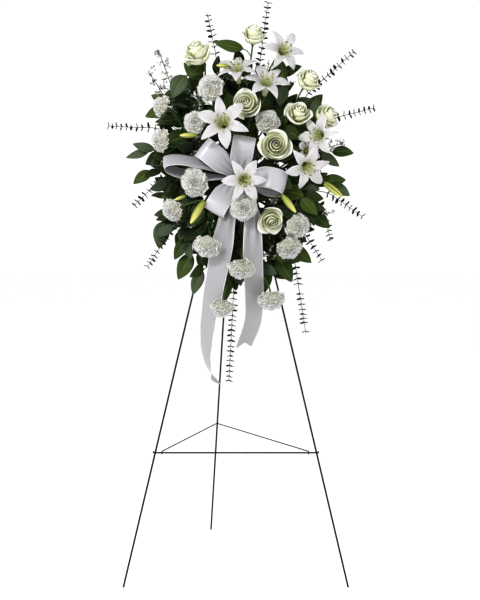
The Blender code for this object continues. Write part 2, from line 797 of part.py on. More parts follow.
def rose_shape(width):
    """Petal tiers round a bud, on a rounded base; the base is at the origin."""
    r = width / 2
    h = width * 0.78
    count = 15
    rings = [
        lobed_ring(0.15 * r, 0.0, count, 0, 0, 0, 0),
        lobed_ring(0.80 * r, 0.36 * h, count, 5, 0.03, 0, 0),
        lobed_ring(1.00 * r, 0.60 * h, count, 5, 0.10, 0.05 * h, 0),
        lobed_ring(0.80 * r, 0.52 * h, count, 5, 0.03, 0, 0),
        lobed_ring(0.76 * r, 0.80 * h, count, 5, 0.08, 0.06 * h, 0.34),
        lobed_ring(0.58 * r, 0.66 * h, count, 5, 0.02, 0, 0.34),
        lobed_ring(0.50 * r, 0.92 * h, count, 5, 0.08, 0.05 * h, 0.67),
        lobed_ring(0.33 * r, 0.76 * h, count, 5, 0.02, 0, 0.67),
        lobed_ring(0.22 * r, 0.95 * h, count, 3, 0.08, 0.04 * h, 0),
        [Vector((0, 0, 0.84 * h))],
    ]
    return loft(rings)


def frilled_ring(radius, height, count, swing, rise, flip):
    """Ring that zigzags out and in, like the cut edge of a carnation petal."""
    ring = []
    for j in range(count):
        angle = math.tau * j / count
        side = 1 if (j + flip) % 2 else -1
        wide = radius * (1 + swing * side)
        ring.append(Vector((math.cos(angle) * wide, math.sin(angle) * wide, height + rise * side)))
    return ring


def carnation_shape(width):
    """Ruffled tiers over a narrow base at the origin."""
    r = width / 2
    h = width * 0.62
    count = 12
    rings = [
        frilled_ring(0.13 * r, 0.0, count, 0, 0, 0),
        frilled_ring(1.00 * r, 0.44 * h, count, 0.08, 0.06 * h, 0),
        frilled_ring(0.74 * r, 0.46 * h, count, 0.05, 0.02 * h, 0),
        frilled_ring(0.82 * r, 0.70 * h, count, 0.09, 0.06 * h, 1),
        frilled_ring(0.50 * r, 0.66 * h, count, 0.05, 0.02 * h, 1),
        frilled_ring(0.52 * r, 0.93 * h, count, 0.12, 0.05 * h, 0),
        frilled_ring(0.20 * r, 0.82 * h, count, 0.06, 0.02 * h, 0),
        [Vector((0, 0, 0.98 * h))],
    ]
    return loft(rings)


def flower_core(rings, size, height):
    """Six-sided cup through rings of (radius, height) in parts of the head's size."""
    made = []
    for radius, level in rings:
        made.append([Vector((math.cos(math.tau * (j + 0.5) / 6) * radius * size,
                             math.sin(math.tau * (j + 0.5) / 6) * radius * size,
                             level * height)) for j in range(6)])
    return made


def petalled(core, band, size, height, line, widths, narrow, drop):
    """Cup whose side faces in one band are drawn out into six pointed petals."""
    shape = loft(core)
    faces = []
    for face in shape.faces:
        rows = sorted(index // 6 for index in face)
        if len(face) != 4 or rows != [band, band, band + 1, band + 1]:
            faces.append(face)
            continue
        middle = sum((shape.points[i] for i in face), Vector()) / 4
        out = Vector((middle.x, middle.y, 0)).normalized()
        side = Vector((-out.y, out.x, 0))
        petal = round(math.atan2(out.y, out.x) / (math.tau / 6)) % 6
        slim = narrow if petal % 2 else 1.0
        fall = drop if petal % 2 else 0.0
        last = list(face)
        for k, ((reach, level), width) in enumerate(zip(line, widths)):
            centre = out * reach * size + Vector((0, 0, (level - fall * reach) * height))
            start = len(shape.points)
            if width == 0:
                shape.points.append(centre)
                for j in range(4):
                    faces.append((last[j], last[(j + 1) % 4], start))
                break
            before = line[k - 1] if k else (reach - 0.2, level - 0.2)
            slope = out * (reach - before[0]) * size + Vector((0, 0, (level - before[1]) * height))
            normal = side.cross(slope).normalized()
            if normal.z > 0:
                normal = -normal
            for index in face:
                corner = shape.points[index]
                wide = 1 if (corner - middle).dot(side) > 0 else -1
                deep = 1 if corner.z < middle.z else -1
                edge = side * wide * width * size * slim / 2
                shape.points.append(centre + edge + normal * deep * PETAL_HALF)
            for j in range(4):
                i = (j + 1) % 4
                faces.append((last[j], last[i], start + i, start + j))
            last = [start + j for j in range(4)]
    return Shape(shape.points, faces)


PETAL_HALF = 0.0005
LILY_CORE = [(0.07, 0.0), (0.10, 0.22), (0.17, 0.50), (0.15, 0.58)]
LILY_LINE = [(0.30, 0.74), (0.62, 0.88), (0.88, 0.84), (1.0, 0.72)]
LILY_WIDTHS = (0.30, 0.42, 0.24, 0)


def stamens(shape, size, height):
    """Draw the top face of the throat up into six slender spikes round a hollow."""
    cap = max((f for f in shape.faces if len(f) == 6), key=lambda f: shape.points[f[0]].z)
    faces = [f for f in shape.faces if f != cap]
    pit = len(shape.points)
    shape.points.append(Vector((0, 0, 0.50 * height)))
    for j in range(6):
        a, b = cap[j], cap[(j + 1) % 6]
        out = (shape.points[a] + shape.points[b])
        out = Vector((out.x, out.y, 0)).normalized()
        tip = len(shape.points)
        shape.points.append(out * 0.24 * size + Vector((0, 0, 1.12 * height)))
        faces += [(a, b, tip), (b, pit, tip), (pit, a, tip)]
    return Shape(shape.points, faces)


def lily_shape(width):
    """Six reflexed petals on a throat, with stamens; the base is at the origin."""
    r = width / 2
    h = width * 0.5
    core = flower_core(LILY_CORE, r, h)
    cup = petalled(core, 2, r, h, LILY_LINE, LILY_WIDTHS, 0.74, 0.05)
    return stamens(cup, r, h)


ALSTROEMERIA_CORE = [(0.12, 0.0), (0.16, 0.3), (0.26, 0.56), (0.20, 0.62)]
ALSTROEMERIA_LINE = [(0.40, 0.74), (0.74, 0.94), (1.0, 0.98)]
ALSTROEMERIA_WIDTHS = (0.40, 0.60, 0)


def alstroemeria_shape(width):
    """Small trumpet of six broader petals."""
    r = width / 2
    h = width * 0.6
    core = flower_core(ALSTROEMERIA_CORE, r, h)
    return petalled(core, 2, r, h, ALSTROEMERIA_LINE, ALSTROEMERIA_WIDTHS, 0.8, 0.0)


HEADS = {}


def head_table():
    table = {}
    for k, row in enumerate(ROSES):
        table[f"rose_{k + 1}"] = ("rose", *row)
    for k, row in enumerate(LILIES):
        table[f"lily_{k + 1}"] = ("lily", *row)
    for k, row in enumerate(CARNATIONS):
        table[f"carnation_{k + 1}"] = ("carnation", *row)
    table["alstroemeria"] = ("alstroemeria", *ALSTROEMERIA)
    return table


HEAD_SHAPES = {
    "rose": rose_shape,
    "lily": lily_shape,
    "carnation": carnation_shape,
    "alstroemeria": alstroemeria_shape,
}
# Share of its width that a head's base lies behind its spot
HEAD_HEIGHT = {"rose": 0.5, "lily": 0.42, "carnation": 0.4, "alstroemeria": 0.4}
SEAT_STEP = 4
SEAT_TRIES = 24


def head_spin(name):
    """Turn of a head about its own axis, fixed by its name."""
    return random.Random(name + " spin").uniform(0, math.tau) + math.radians(HEAD_TURNS.get(name, 0))


def seat_offsets():
    """Forward shifts to try, nearest first."""
    offsets = [0]
    for k in range(1, SEAT_TRIES):
        offsets += [SEAT_STEP * k, -SEAT_STEP * k]
    return offsets


def make_head(name, kind, spot, look_at, width):
    """Place a head at its spot, moved along the depth until it clears its neighbours."""
    axis = facing(*look_at)
    size = width * MM
    turn = basis(axis, Vector((0, 0, 1))) @ Matrix.Rotation(head_spin(name), 3, "Z")
    shape = HEAD_SHAPES[kind](size)
    base = place(spot) - axis * size * HEAD_HEIGHT[kind]
    for offset in seat_offsets():
        shift = base + Vector((0, -offset * MM, 0))
        placed = shape.moved(turn, shift)
        if is_clear(placed):
            break
    else:
        raise RuntimeError(f"no clear place for {name}")
    HEADS[name] = (shift, axis)
    single(name, placed, petal_white())


# Ribbon


def ribbon_strip(line, sides, widths, ends=None):
    """Flat ribbon; with ends it has a middle line, and its last row is cut to a shape."""
    rings = []
    frames = path_frames(line)
    for k, (point, side, width) in enumerate(zip(line, sides, widths)):
        tangent = frames[k][0]
        across = (side - tangent * side.dot(tangent)).normalized()
        normal = tangent.cross(across)
        row = []
        for j, part in enumerate((-0.5, 0, 0.5) if ends else (-0.5, 0.5)):
            cut = ends[j] * MM if ends and k == len(line) - 1 else 0.0
            row.append(point + across * width * part + tangent * cut)
        half = normal * RIBBON_THICKNESS / 2
        rings.append([p - half for p in row] + [p + half for p in reversed(row)])
    return loft(rings)


def bow_loop(turn, tilt, roll, length, height):
    """Teardrop loop of ribbon from the knot and back to it."""
    out = facing(turn, tilt)
    view = Vector((0, -1, 0))
    lift = (view - out * view.dot(out)).normalized()
    lift = Matrix.Rotation(math.radians(roll), 3, out) @ lift
    across = out.cross(lift)
    knot = place(BOW_KNOT)
    line = []
    sides = []
    widths = []
    for k in range(LOOP_STEPS + 1):
        t = math.tau * k / LOOP_STEPS
        along = (1 - math.cos(t)) / 2 * length * MM
        off = math.sin(t) * math.sin(t / 2) ** 1.2 * height * MM * 0.62
        line.append(knot + out * along + lift * off)
        sides.append(across)
        pinch = 0.20 + 0.80 * min(1.0, (1 - math.cos(t)) / 2 * 2.0)
        widths.append(RIBBON_WIDTH * pinch)
    return ribbon_strip(line, sides, widths)


def make_bow():
    """Knot, loops and tails of one ribbon, on a pick that stands in the foam."""
    knot = place(BOW_KNOT)
    mouth, normal = hole_axis("ribbon_bow")
    ball = []
    for radius, depth in KNOT_RINGS:
        ring = []
        for j in range(8):
            angle = math.tau * j / 8
            ring.append(knot + Vector((math.cos(angle) * radius, depth, math.sin(angle) * radius)))
        ball.append(ring)
    pieces = [loft(ball), root_peg("ribbon_bow", ROOT_RADIUS, GAP, ROOT_OUT)]
    start = mouth + normal * 0.002
    pick = curve(start, start + normal * 0.03, knot + Vector((0, 0.03, 0)), knot, 3)
    pieces.append(tube(pick, PICK_RADIUS, 5))
    pieces += [bow_loop(*row) for row in BOW_LOOPS]
    pieces += [tail_strip(*row) for row in TAILS]
    joined("ribbon_bow", pieces, satin_white())


def tail_strip(line, turns, ends):
    """One hanging end of the ribbon, narrow where it leaves the knot."""
    points = [place(spot) for spot in line]
    sides = [Vector((math.cos(turn), math.sin(turn), 0)) for turn in map(math.radians, turns)]
    widths = [RIBBON_WIDTH * share for share in TAIL_GATHER]
    widths += [RIBBON_WIDTH] * (len(points) - len(TAIL_GATHER))
    return ribbon_strip(points, sides, widths, ends)


# Greens


def leaf_shape(tip, direction, normal, length, width):
    """Ovate blade with a folded midrib and a short stalk, ending at the tip."""
    side = direction.cross(normal).normalized()
    upper = side.cross(direction)
    base = tip - direction * length
    rings = []
    for part, wide, sag in ((0.0, 0.05, 0.0), (0.30, 0.92, 0.04), (0.66, 0.90, 0.05)):
        middle = base + direction * length * part + upper * sag * length
        edge = side * width * wide / 2
        fold = upper * width * wide * 0.13
        thick = LEAF_THICKNESS if part else LEAF_THICKNESS * 1.3
        rings.append([middle - edge + fold, middle - upper * thick, middle + edge + fold, middle])
    rings.append([tip])
    return loft(rings)


def root_start(name):
    """Where the stems leave the peg of a hole, and the direction out of the hole."""
    mouth, normal = hole_axis(name)
    return mouth + normal * 0.005, normal


def stalk(start, leave, end, arrive, swing, steps):
    """Line of a stem that leaves its start along one direction and arrives along another."""
    reach = (end - start).length
    toward = (end - start).normalized()
    pull_start = start + (leave + toward).normalized() * reach * 0.32 + swing
    pull_end = end - arrive * min(0.035, reach * 0.3) + swing * 0.4
    return curve(start, pull_start, pull_end, end, steps)


def nearest_on(lines, goal, skip_end):
    """Closest point to the goal on any of the stem lines, short of their last stretch."""
    best = None
    for line in lines:
        for a, b in zip(line[1:skip_end], line[2:]):
            for part in (0.2, 0.6):
                spot = a.lerp(b, part)
                if best is None or (spot - goal).length < (best[0] - goal).length:
                    best = (spot, (b - a).normalized())
    return best


TRIES = 240
LEAF_TRIES = 300


def tries(key, count, reach):
    """Small shifts to try, growing with each try, the same on every run."""
    yield Vector((0, 0, 0)), 0.0
    for attempt in range(1, count):
        draw = random.Random(f"{key} {attempt}")
        size = reach * min(1.0, 0.15 + attempt / count)
        shift = Vector([draw.uniform(-1, 1) * size for _ in range(3)])
        yield shift, draw.uniform(-1, 1) * min(1.0, 0.2 + attempt / count)


def make_branch(name):
    """Stems of several heads with salal leaves and buds, from one hole."""
    pieces = [root_peg(name, ROOT_RADIUS, GAP, ROOT_OUT)]
    start, leave = root_start(name)
    lines = []
    for order, head in enumerate(BRANCH_HEADS[name]):
        base, axis = HEADS[head]
        end = base - axis * GAP
        flare = CALYX_RADIUS if head.startswith(("rose", "carnation")) else TRUMPET_RADIUS
        radii = [STEM_RADIUS] * 4 + [flare]
        for swing, _ in tries(f"{name} {head}", TRIES, 0.09):
            line = stalk(start, leave, end - axis * NECK, axis, swing, 3) + [end]
            stem = tube(line, radii, 3, order * 0.5)
            if is_clear(stem, (head, name)):
                break
        else:
            raise RuntimeError(f"no clear stem for {head}")
        pieces.append(stem)
        lines.append(line)
    own = [piece.tree() for piece in pieces]
    for order, (branch, spot, angle, lean, length) in enumerate(BUDS):
        if branch != name:
            continue
        for swing, _ in tries(f"{name} bud {order}", TRIES, 0.06):
            direction = heading(angle, lean)
            middle = place(spot) + swing * 0.35
            half = direction * length * MM / 2
            bud_line = [middle - half, middle - half * 0.5, middle + half * 0.25, middle + half]
            thick = length * MM * 0.13 + 0.0015
            bud = tube(bud_line, [thick * 0.5, thick, thick * 0.85, thick * 0.2], 5)
            fork, along = nearest_on(lines, middle - half, 4)
            stem = tube(stalk(fork, along, middle - half * 0.8, direction, swing, 3), TWIG_RADIUS * 1.2, 3)
            if is_clear(bud, (name,)) and is_clear(stem, (name,)):
                pieces += [bud, stem]
                own.append(bud.tree())
                break
        else:
            raise RuntimeError(f"no clear bud {order} on {name}")
    for order, (branch, spot, angle, lean, length, width) in enumerate(LEAVES):
        if branch != name:
            continue
        for shift, twist in tries(f"{name} leaf {order}", LEAF_TRIES, 0.045):
            direction = heading(angle + 14 * twist, lean + 10 * twist)
            tip = place(spot) + shift * 0.5
            normal = Matrix.Rotation(0.5 * twist, 3, direction) @ Vector((0, -1, 0.25))
            blade = leaf_shape(tip, direction, normal, length * MM, width * MM)
            base = tip - direction * (length * MM - 0.003)
            fork, along = nearest_on(lines, base, 4)
            stem = tube(stalk(fork, along, base, direction, shift, 2), TWIG_RADIUS, 3)
            around = blade.grown(GUARD).tree()
            if any(around.overlap(other) for other in own):
                continue
            if is_clear(blade, (name,)) and is_clear(stem, (name,)):
                pieces += [blade, stem]
                own.append(blade.tree())
                break
        else:
            raise RuntimeError(f"no clear leaf {order} on {name}")
    joined(name, pieces, leaf_green())


def leafy_spray(line, first, leaf, step, taper):
    """Square stem with paired oval leaves raised from its sides, one skin."""
    points = []
    length = sum((b - a).length for a, b in zip(line, line[1:]))
    stations = [0.0, first * 0.35, first * 0.7]
    place_at = first
    pairs = []
    while place_at < length - 0.004:
        pairs.append(len(stations))
        stations += [place_at - 0.0012, place_at + 0.0012]
        place_at += step
    stations.append(length)

    def at(distance):
        for a, b in zip(line, line[1:]):
            span = (b - a).length
            if distance <= span or b is line[-1]:
                return a.lerp(b, min(1.0, distance / span))
            distance -= span

    centres = [at(s) for s in stations]
    frames = path_frames(centres)
    faces = []
    for k, (centre, (_, side, upper)) in enumerate(zip(centres, frames)):
        radius = 0.0013 - 0.0004 * stations[k] / length
        for j in range(4):
            angle = math.tau * (j + 0.5) / 4
            points.append(centre + (side * math.cos(angle) + upper * math.sin(angle)) * radius * 1.4)
    for k in range(len(centres) - 1):
        for j in range(4):
            i = (j + 1) % 4
            quad = (4 * k + j, 4 * k + i, 4 * k + 4 + i, 4 * k + 4 + j)
            if k in pairs and j % 2 == pairs.index(k) % 2:
                scale = 1.0 - taper * (stations[k] - first) / max(length - first, 0.001)
                grow_leaf(points, faces, quad, centres[k], frames[k], leaf * scale)
            else:
                faces.append(quad)
    faces.append((3, 2, 1, 0))
    last = 4 * (len(centres) - 1)
    faces.append((last, last + 1, last + 2, last + 3))
    return Shape(points, faces)


def grow_leaf(points, faces, quad, centre, frame, leaf):
    """Raise a flat oval leaf out of one side face of a stem."""
    tangent = frame[0]
    corners = [points[i] for i in quad]
    root = sum(corners, Vector()) / 4
    out = (root - centre)
    out = (out - tangent * out.dot(tangent)).normalized()
    across = tangent.cross(out)
    lean = (out + tangent * 0.35).normalized()
    thin = lean.cross(across)
    middle = root + lean * leaf * 0.5
    start = len(points)
    for corner in corners:
        along = 1 if (corner - root).dot(tangent) > 0 else -1
        wide = 1 if (corner - root).dot(across) > 0 else -1
        lift = thin * 0.0006 if thin.dot(tangent) > 0 else thin * -0.0006
        points.append(middle + across * wide * leaf * 0.42 + lift * along)
    points.append(root + lean * leaf)
    tip = start + 4
    for j in range(4):
        i = (j + 1) % 4
        faces.append((quad[j], quad[i], start + i, start + j))
        faces.append((start + j, start + i, tip))


def make_eucalyptus(name):
    pieces = [root_peg(name, ROOT_RADIUS, GAP, ROOT_OUT)]
    start, normal = root_start(name)
    for order, (tip, leafy) in enumerate(EUCALYPTUS[name]):
        for swing, _ in tries(f"{name} {order}", TRIES, 0.05):
            end = place(tip)
            knee = place(leafy) + swing * 0.6
            first = curve(start, start + normal * 0.05 + swing, knee - (end - knee) * 0.35, knee, 5)
            line = first + [knee.lerp(end, 0.5) + swing * 0.15, end]
            bare = sum((b - a).length for a, b in zip(first, first[1:]))
            spray = leafy_spray(line, bare, EUCALYPTUS_LEAF, PAIR_STEP, 0.35)
            if is_clear(spray, (name,)):
                break
        else:
            raise RuntimeError(f"no clear spray {order} on {name}")
        pieces.append(spray)
    joined(name, pieces, eucalyptus_green())


def grain(foot, spot, radius):
    """Tiny flower on a short stalk, as a three-sided drop."""
    out = (spot - foot).normalized()
    side = out.orthogonal().normalized()
    upper = out.cross(side)
    ring = []
    for j in range(3):
        angle = math.tau * j / 3
        ring.append(spot + (side * math.cos(angle) + upper * math.sin(angle)) * radius)
    return loft([[foot], ring, [spot + out * radius]])


def make_filler(name):
    """Twigs with grains of flower standing on short side stalks."""
    pieces = [root_peg(name, ROOT_RADIUS, GAP, ROOT_OUT)]
    start, leave = root_start(name)
    for order, tip in enumerate(FILLER[name]):
        for swing, _ in tries(f"{name} {order}", TRIES, 0.06):
            goal = place(tip) + swing * 0.5
            line = stalk(start, leave, goal, (goal - start).normalized(), swing, 5)
            twig = tube(line, [0.0015, 0.0014, 0.0013, 0.0012, 0.0011, 0.0009], 3)
            grains = []
            draw = random.Random(f"{name} grains {order}")
            for k in range(GRAINS):
                part = k / GRAINS * 2
                foot = line[3].lerp(line[4], part) if part < 1 else line[4].lerp(line[5], part - 1)
                side = Vector([draw.uniform(-1, 1) for _ in range(3)]).normalized()
                spot = foot + side * draw.uniform(0.008, 0.017)
                grains.append(grain(foot, spot, draw.uniform(0.0030, 0.0042)))
            if is_clear(twig, (name,)) and all(is_clear(piece, (name,)) for piece in grains):
                pieces += [twig] + grains
                break
        else:
            raise RuntimeError(f"no clear twig {order} on {name}")
    joined(name, pieces, filler_white())


for old in list(bpy.data.objects):
    bpy.data.objects.remove(old)
STAND = bpy.data.objects.new("stand", None)
bpy.context.scene.collection.objects.link(STAND)

for leg_name in FEET:
    make_leg(leg_name, FEET[leg_name], EYES[leg_name])
make_head_pin()
make_front_brace()
make_rear_brace()
make_foam()
make_cage()
make_bow()
for head_name, head_row in head_table().items():
    make_head(head_name, *head_row)
for branch_name in BRANCH_HEADS:
    make_branch(branch_name)
for spray_name in EUCALYPTUS:
    make_eucalyptus(spray_name)
for filler_name in FILLER:
    make_filler(filler_name)
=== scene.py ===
"""Looks of the standing funeral spray: petals, leaves, ribbon, floor, light and camera.

Metres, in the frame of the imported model. Places in the tables are millimetres
as (across, forward, height) from a point on the floor under the easel's top,
and ORIGIN moves them to the middle of the plan.
"""

import math
import random

import bpy
from mathutils import Matrix, Vector
from mathutils.bvhtree import BVHTree
from mathutils.kdtree import KDTree


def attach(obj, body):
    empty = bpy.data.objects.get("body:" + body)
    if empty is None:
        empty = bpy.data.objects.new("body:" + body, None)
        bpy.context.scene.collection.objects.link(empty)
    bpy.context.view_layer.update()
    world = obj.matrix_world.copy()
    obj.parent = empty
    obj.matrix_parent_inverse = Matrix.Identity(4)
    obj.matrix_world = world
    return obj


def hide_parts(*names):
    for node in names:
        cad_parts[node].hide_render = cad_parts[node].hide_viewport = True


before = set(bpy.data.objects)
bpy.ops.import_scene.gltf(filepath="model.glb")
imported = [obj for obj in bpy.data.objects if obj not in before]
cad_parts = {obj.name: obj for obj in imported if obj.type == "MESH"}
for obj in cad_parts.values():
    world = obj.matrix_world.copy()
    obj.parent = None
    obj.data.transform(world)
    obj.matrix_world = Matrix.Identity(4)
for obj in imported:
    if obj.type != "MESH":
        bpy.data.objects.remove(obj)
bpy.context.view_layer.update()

MM = 0.001
ORIGIN = Vector((-0.012, -0.022, 0.0))
BODY = "stand"

# Camera: photograph's height, distance and tilt
CAMERA_PLACE = (-0.001, -3.222, 0.984)
CAMERA_DOWN = math.radians(4.47)
CAMERA_LENS = 70.67
CAMERA_SENSOR = 36.0

# Values shared with the solids
PIN_HEIGHT = 1.167
LEAN = math.atan2(0.202, PIN_HEIGHT)
FOAM_WIDTH = 0.110
FOAM_DEPTH = 0.080
FOAM_TOP = 0.030
FOAM_BOTTOM = 0.255
FOAM_BACK = 0.0056
GAP = 0.3 * MM
STEM_RADIUS = 0.0021
NECK = 0.007
TWIG_RADIUS = 0.0012
ROOT_RADIUS = 0.0030
ROOT_REACH = (-0.034, -0.010, 0.007)
RIBBON_WIDTH = 0.057
SOLID_TRIES = 240
SOLID_LEAF_TRIES = 300
SOLID_PAIR_STEP = 0.030
SOLID_NEAR = 0.08 * MM

# Thickness of the sheets
LEAF_THICKNESS = 0.0006
SMALL_LEAF_THICKNESS = 0.0005
RIBBON_THICKNESS = 0.0004
KNOT_THICKNESS = 0.0005

# A piece's own tone where nothing else is said
MIDDLE_TONE = 0.5

# Heads: (turn right, tilt up) of the face, width
ROSES = [
    (10, 60, 70), (-34, 44, 86), (-12, 12, 86), (5, 5, 92),
    (8, 38, 76), (38, 42, 74), (50, 26, 76), (5, -15, 78),
]
LILIES = [
    (20, 14, 112), (-8, 52, 112), (8, 42, 122), (-5, 10, 136),
    (4, -5, 114), (-30, 0, 112), (12, -18, 118),
]
CARNATIONS = [
    (-22, 20, 76), (-60, 22, 58), (-25, 5, 62), (-55, 0, 62), (-18, 0, 74), (-45, -15, 62), (0, -12, 72),
    (5, 15, 66), (-18, -45, 72), (0, -56, 74), (-8, -60, 66), (8, -60, 74), (28, -20, 70), (15, -45, 70),
]
ALSTROEMERIA = (25, 5, 66)
# Degrees that a head is turned further about its own axis
HEAD_TURNS = {"lily_4": 22, "lily_5": 16}

# Bow: loops as (turn right, tilt up, roll, length, height of the loop)
BOW_KNOT = (6, 178, 1062)
BOW_LOOPS = [
    (-61, 36, 4, 128, 54),
    (16, 58, 0, 117, 50),
    (68, -8, -20, 129, 66),
    (-76, 10, 62, 196, 44),
    (-44, -45, 10, 125, 46),
]
# Tails: middle line, the ribbon's turn out of the front view at each point, then how far
# the left edge, middle and right edge of the cut end hang below the last point
TAILS = [
    ([(3, 180, 1060), (-16, 214, 1000), (-22, 230, 955), (-36, 237, 880), (-55, 238, 785),
      (-70, 234, 700), (-75, 231, 645), (-73, 231, 600), (-56, 232, 554)],
     (0, 0, 0, -12, -28, -46, -56, -70, -105), (26, 12, 0)),
    ([(10, 180, 1060), (34, 212, 1000), (42, 226, 955), (43, 232, 866), (46, 231, 778),
      (44, 229, 706), (28, 230, 655)],
     (0, 0, 10, 28, 32, 38, 45), (34, 12, 18)),
]
TAIL_GATHER = (0.24, 0.46, 0.76)
TAIL_STEPS = 8
LOOP_STEPS = 56
RIBBON_COLUMNS = 25

# Holes in the foam: face of the block, place across it or up it, place in depth
HOLES = {
    "branch_top": ("top", 14, 52),
    "branch_upper_left": ("left", 62, 60),
    "branch_left": ("left", 118, 62),
    "branch_lower_left": ("left", 178, 60),
    "branch_bottom": ("bottom", 4, 60),
    "branch_lower_right": ("right", 178, 60),
    "branch_right": ("right", 118, 62),
    "branch_upper_right": ("right", 62, 60),
    "branch_front_upper": ("front", 20, 73),
    "branch_front_lower": ("front", 12, 172),
    "eucalyptus_top_left": ("top", -34, 44),
    "eucalyptus_top": ("top", -6, 66),
    "eucalyptus_upper_right": ("right", 44, 46),
    "eucalyptus_left": ("left", 146, 44),
    "eucalyptus_lower_left": ("left", 218, 46),
    "eucalyptus_bottom": ("bottom", -16, 44),
    "eucalyptus_lower_right": ("right", 218, 46),
    "eucalyptus_right": ("right", 148, 44),
    "filler_left": ("left", 42, 60),
    "filler_right": ("right", 76, 44),
}

# Which heads each branch carries
BRANCH_HEADS = {
    "branch_top": ["rose_1", "lily_1", "lily_2"],
    "branch_upper_left": ["rose_2", "carnation_1", "carnation_2"],
    "branch_left": ["carnation_3", "carnation_4", "carnation_5"],
    "branch_lower_left": ["carnation_6", "carnation_9"],
    "branch_bottom": ["carnation_10", "carnation_11", "carnation_12"],
    "branch_lower_right": ["carnation_13", "carnation_14", "rose_8"],
    "branch_right": ["lily_7", "alstroemeria", "lily_6"],
    "branch_upper_right": ["rose_6", "rose_7", "rose_5"],
    "branch_front_upper": ["rose_3", "lily_3", "carnation_8", "lily_4", "lily_5"],
    "branch_front_lower": ["rose_4", "carnation_7"],
}

# Lily buds: branch, middle, heading and lift, length
BUDS = [
    ("branch_upper_left", (-36, 235, 1334), 178, 10, 30),
    ("branch_left", (-119, 252, 1171), 182, 10, 42),
    ("branch_lower_left", (-91, 250, 975), 239, 12, 66),
    ("branch_lower_left", (-139, 245, 1009), 200, 20, 29),
    ("branch_lower_right", (134, 250, 990), 308, 12, 56),
    ("branch_right", (241, 222, 1022), 322, 8, 58),
]

# Salal leaves: branch, tip, heading in the front view, lean forward, length, width
LEAVES = [
    ("branch_top", (-56, 150, 1406), 168, 5, 78, 32),
    ("branch_top", (115, 140, 1366), 98, 4, 60, 28),
    ("branch_top", (170, 130, 1348), 26, 4, 56, 28),
    ("branch_upper_left", (-124, 165, 1318), 222, 10, 62, 40),
    ("branch_upper_left", (-163, 140, 1265), 240, 10, 70, 46),
    ("branch_upper_left", (-196, 120, 1262), 200, 5, 64, 34),
    ("branch_upper_left", (-220, 110, 1276), 158, 5, 60, 32),
    ("branch_upper_left", (-236, 105, 1220), 205, 5, 58, 32),
    ("branch_upper_left", (-134, 130, 1356), 140, 0, 64, 40),
    ("branch_left", (-205, 140, 1208), 190, 8, 74, 28),
    ("branch_left", (-180, 160, 1136), 200, 10, 70, 50),
    ("branch_left", (-268, 115, 1150), 165, 6, 58, 26),
    ("branch_left", (-286, 112, 1114), 200, 6, 66, 24),
    ("branch_left", (-267, 115, 1046), 214, 6, 58, 30),
    ("branch_left", (-196, 140, 1012), 196, 8, 66, 40),
    ("branch_lower_left", (-208, 120, 905), 232, 8, 60, 34),
    ("branch_lower_left", (-200, 130, 878), 262, 6, 72, 44),
    ("branch_lower_left", (-159, 150, 850), 236, 8, 68, 34),
    ("branch_lower_left", (-150, 140, 798), 243, 6, 76, 42),
    ("branch_lower_left", (-110, 190, 940), 250, 12, 60, 40),
    ("branch_bottom", (-112, 135, 758), 248, 6, 68, 32),
    ("branch_bottom", (-26, 165, 744), 262, 6, 72, 30),
    ("branch_bottom", (72, 165, 762), 256, 6, 66, 30),
    ("branch_bottom", (4, 150, 784), 272, 4, 60, 30),
    ("branch_lower_right", (145, 150, 792), 298, 6, 78, 44),
    ("branch_lower_right", (196, 150, 842), 318, 8, 66, 36),
    ("branch_lower_right", (244, 140, 932), 322, 8, 64, 38),
    ("branch_lower_right", (210, 175, 966), 314, 10, 62, 36),
    ("branch_right", (304, 145, 1124), 356, 6, 56, 30),
    ("branch_right", (266, 160, 1090), 322, 8, 60, 28),
    ("branch_right", (284, 150, 1056), 4, 8, 62, 36),
    ("branch_right", (295, 145, 1015), 330, 6, 60, 32),
    ("branch_right", (250, 130, 1180), 20, 6, 62, 36),
    ("branch_upper_right", (224, 130, 1276), 48, 4, 62, 36),
    ("branch_upper_right", (208, 140, 1270), 90, 4, 56, 34),
    ("branch_upper_right", (164, 185, 1169), 322, 12, 58, 38),
    ("branch_upper_right", (120, 160, 1330), 84, 8, 60, 36),
    ("branch_front_upper", (112, 178, 1240), 258, 10, 56, 36),
    ("branch_front_upper", (-20, 190, 1276), 96, 10, 56, 38),
    ("branch_front_upper", (-70, 190, 1236), 150, 12, 60, 40),
    ("branch_front_lower", (140, 190, 1030), 320, 12, 62, 40),
    ("branch_front_lower", (20, 180, 910), 262, 10, 62, 40),
    ("branch_top", (-62, 160, 1300), 118, 16, 84, 54),
    ("branch_top", (92, 160, 1292), 64, 16, 84, 54),
    ("branch_upper_left", (-112, 160, 1212), 152, 16, 84, 54),
    ("branch_left", (-142, 160, 1078), 186, 16, 84, 56),
    ("branch_lower_left", (-118, 165, 930), 226, 16, 84, 54),
    ("branch_lower_left", (-62, 160, 842), 250, 14, 84, 52),
    ("branch_bottom", (40, 170, 830), 278, 14, 84, 52),
    ("branch_lower_right", (148, 165, 900), 312, 16, 84, 54),
    ("branch_right", (176, 165, 1014), 350, 16, 84, 56),
    ("branch_right", (178, 160, 1130), 18, 16, 84, 54),
    ("branch_upper_right", (142, 160, 1240), 44, 16, 84, 54),
    ("branch_front_upper", (-40, 190, 1170), 160, 24, 76, 50),
    ("branch_front_lower", (96, 190, 1010), 332, 24, 76, 50),
]

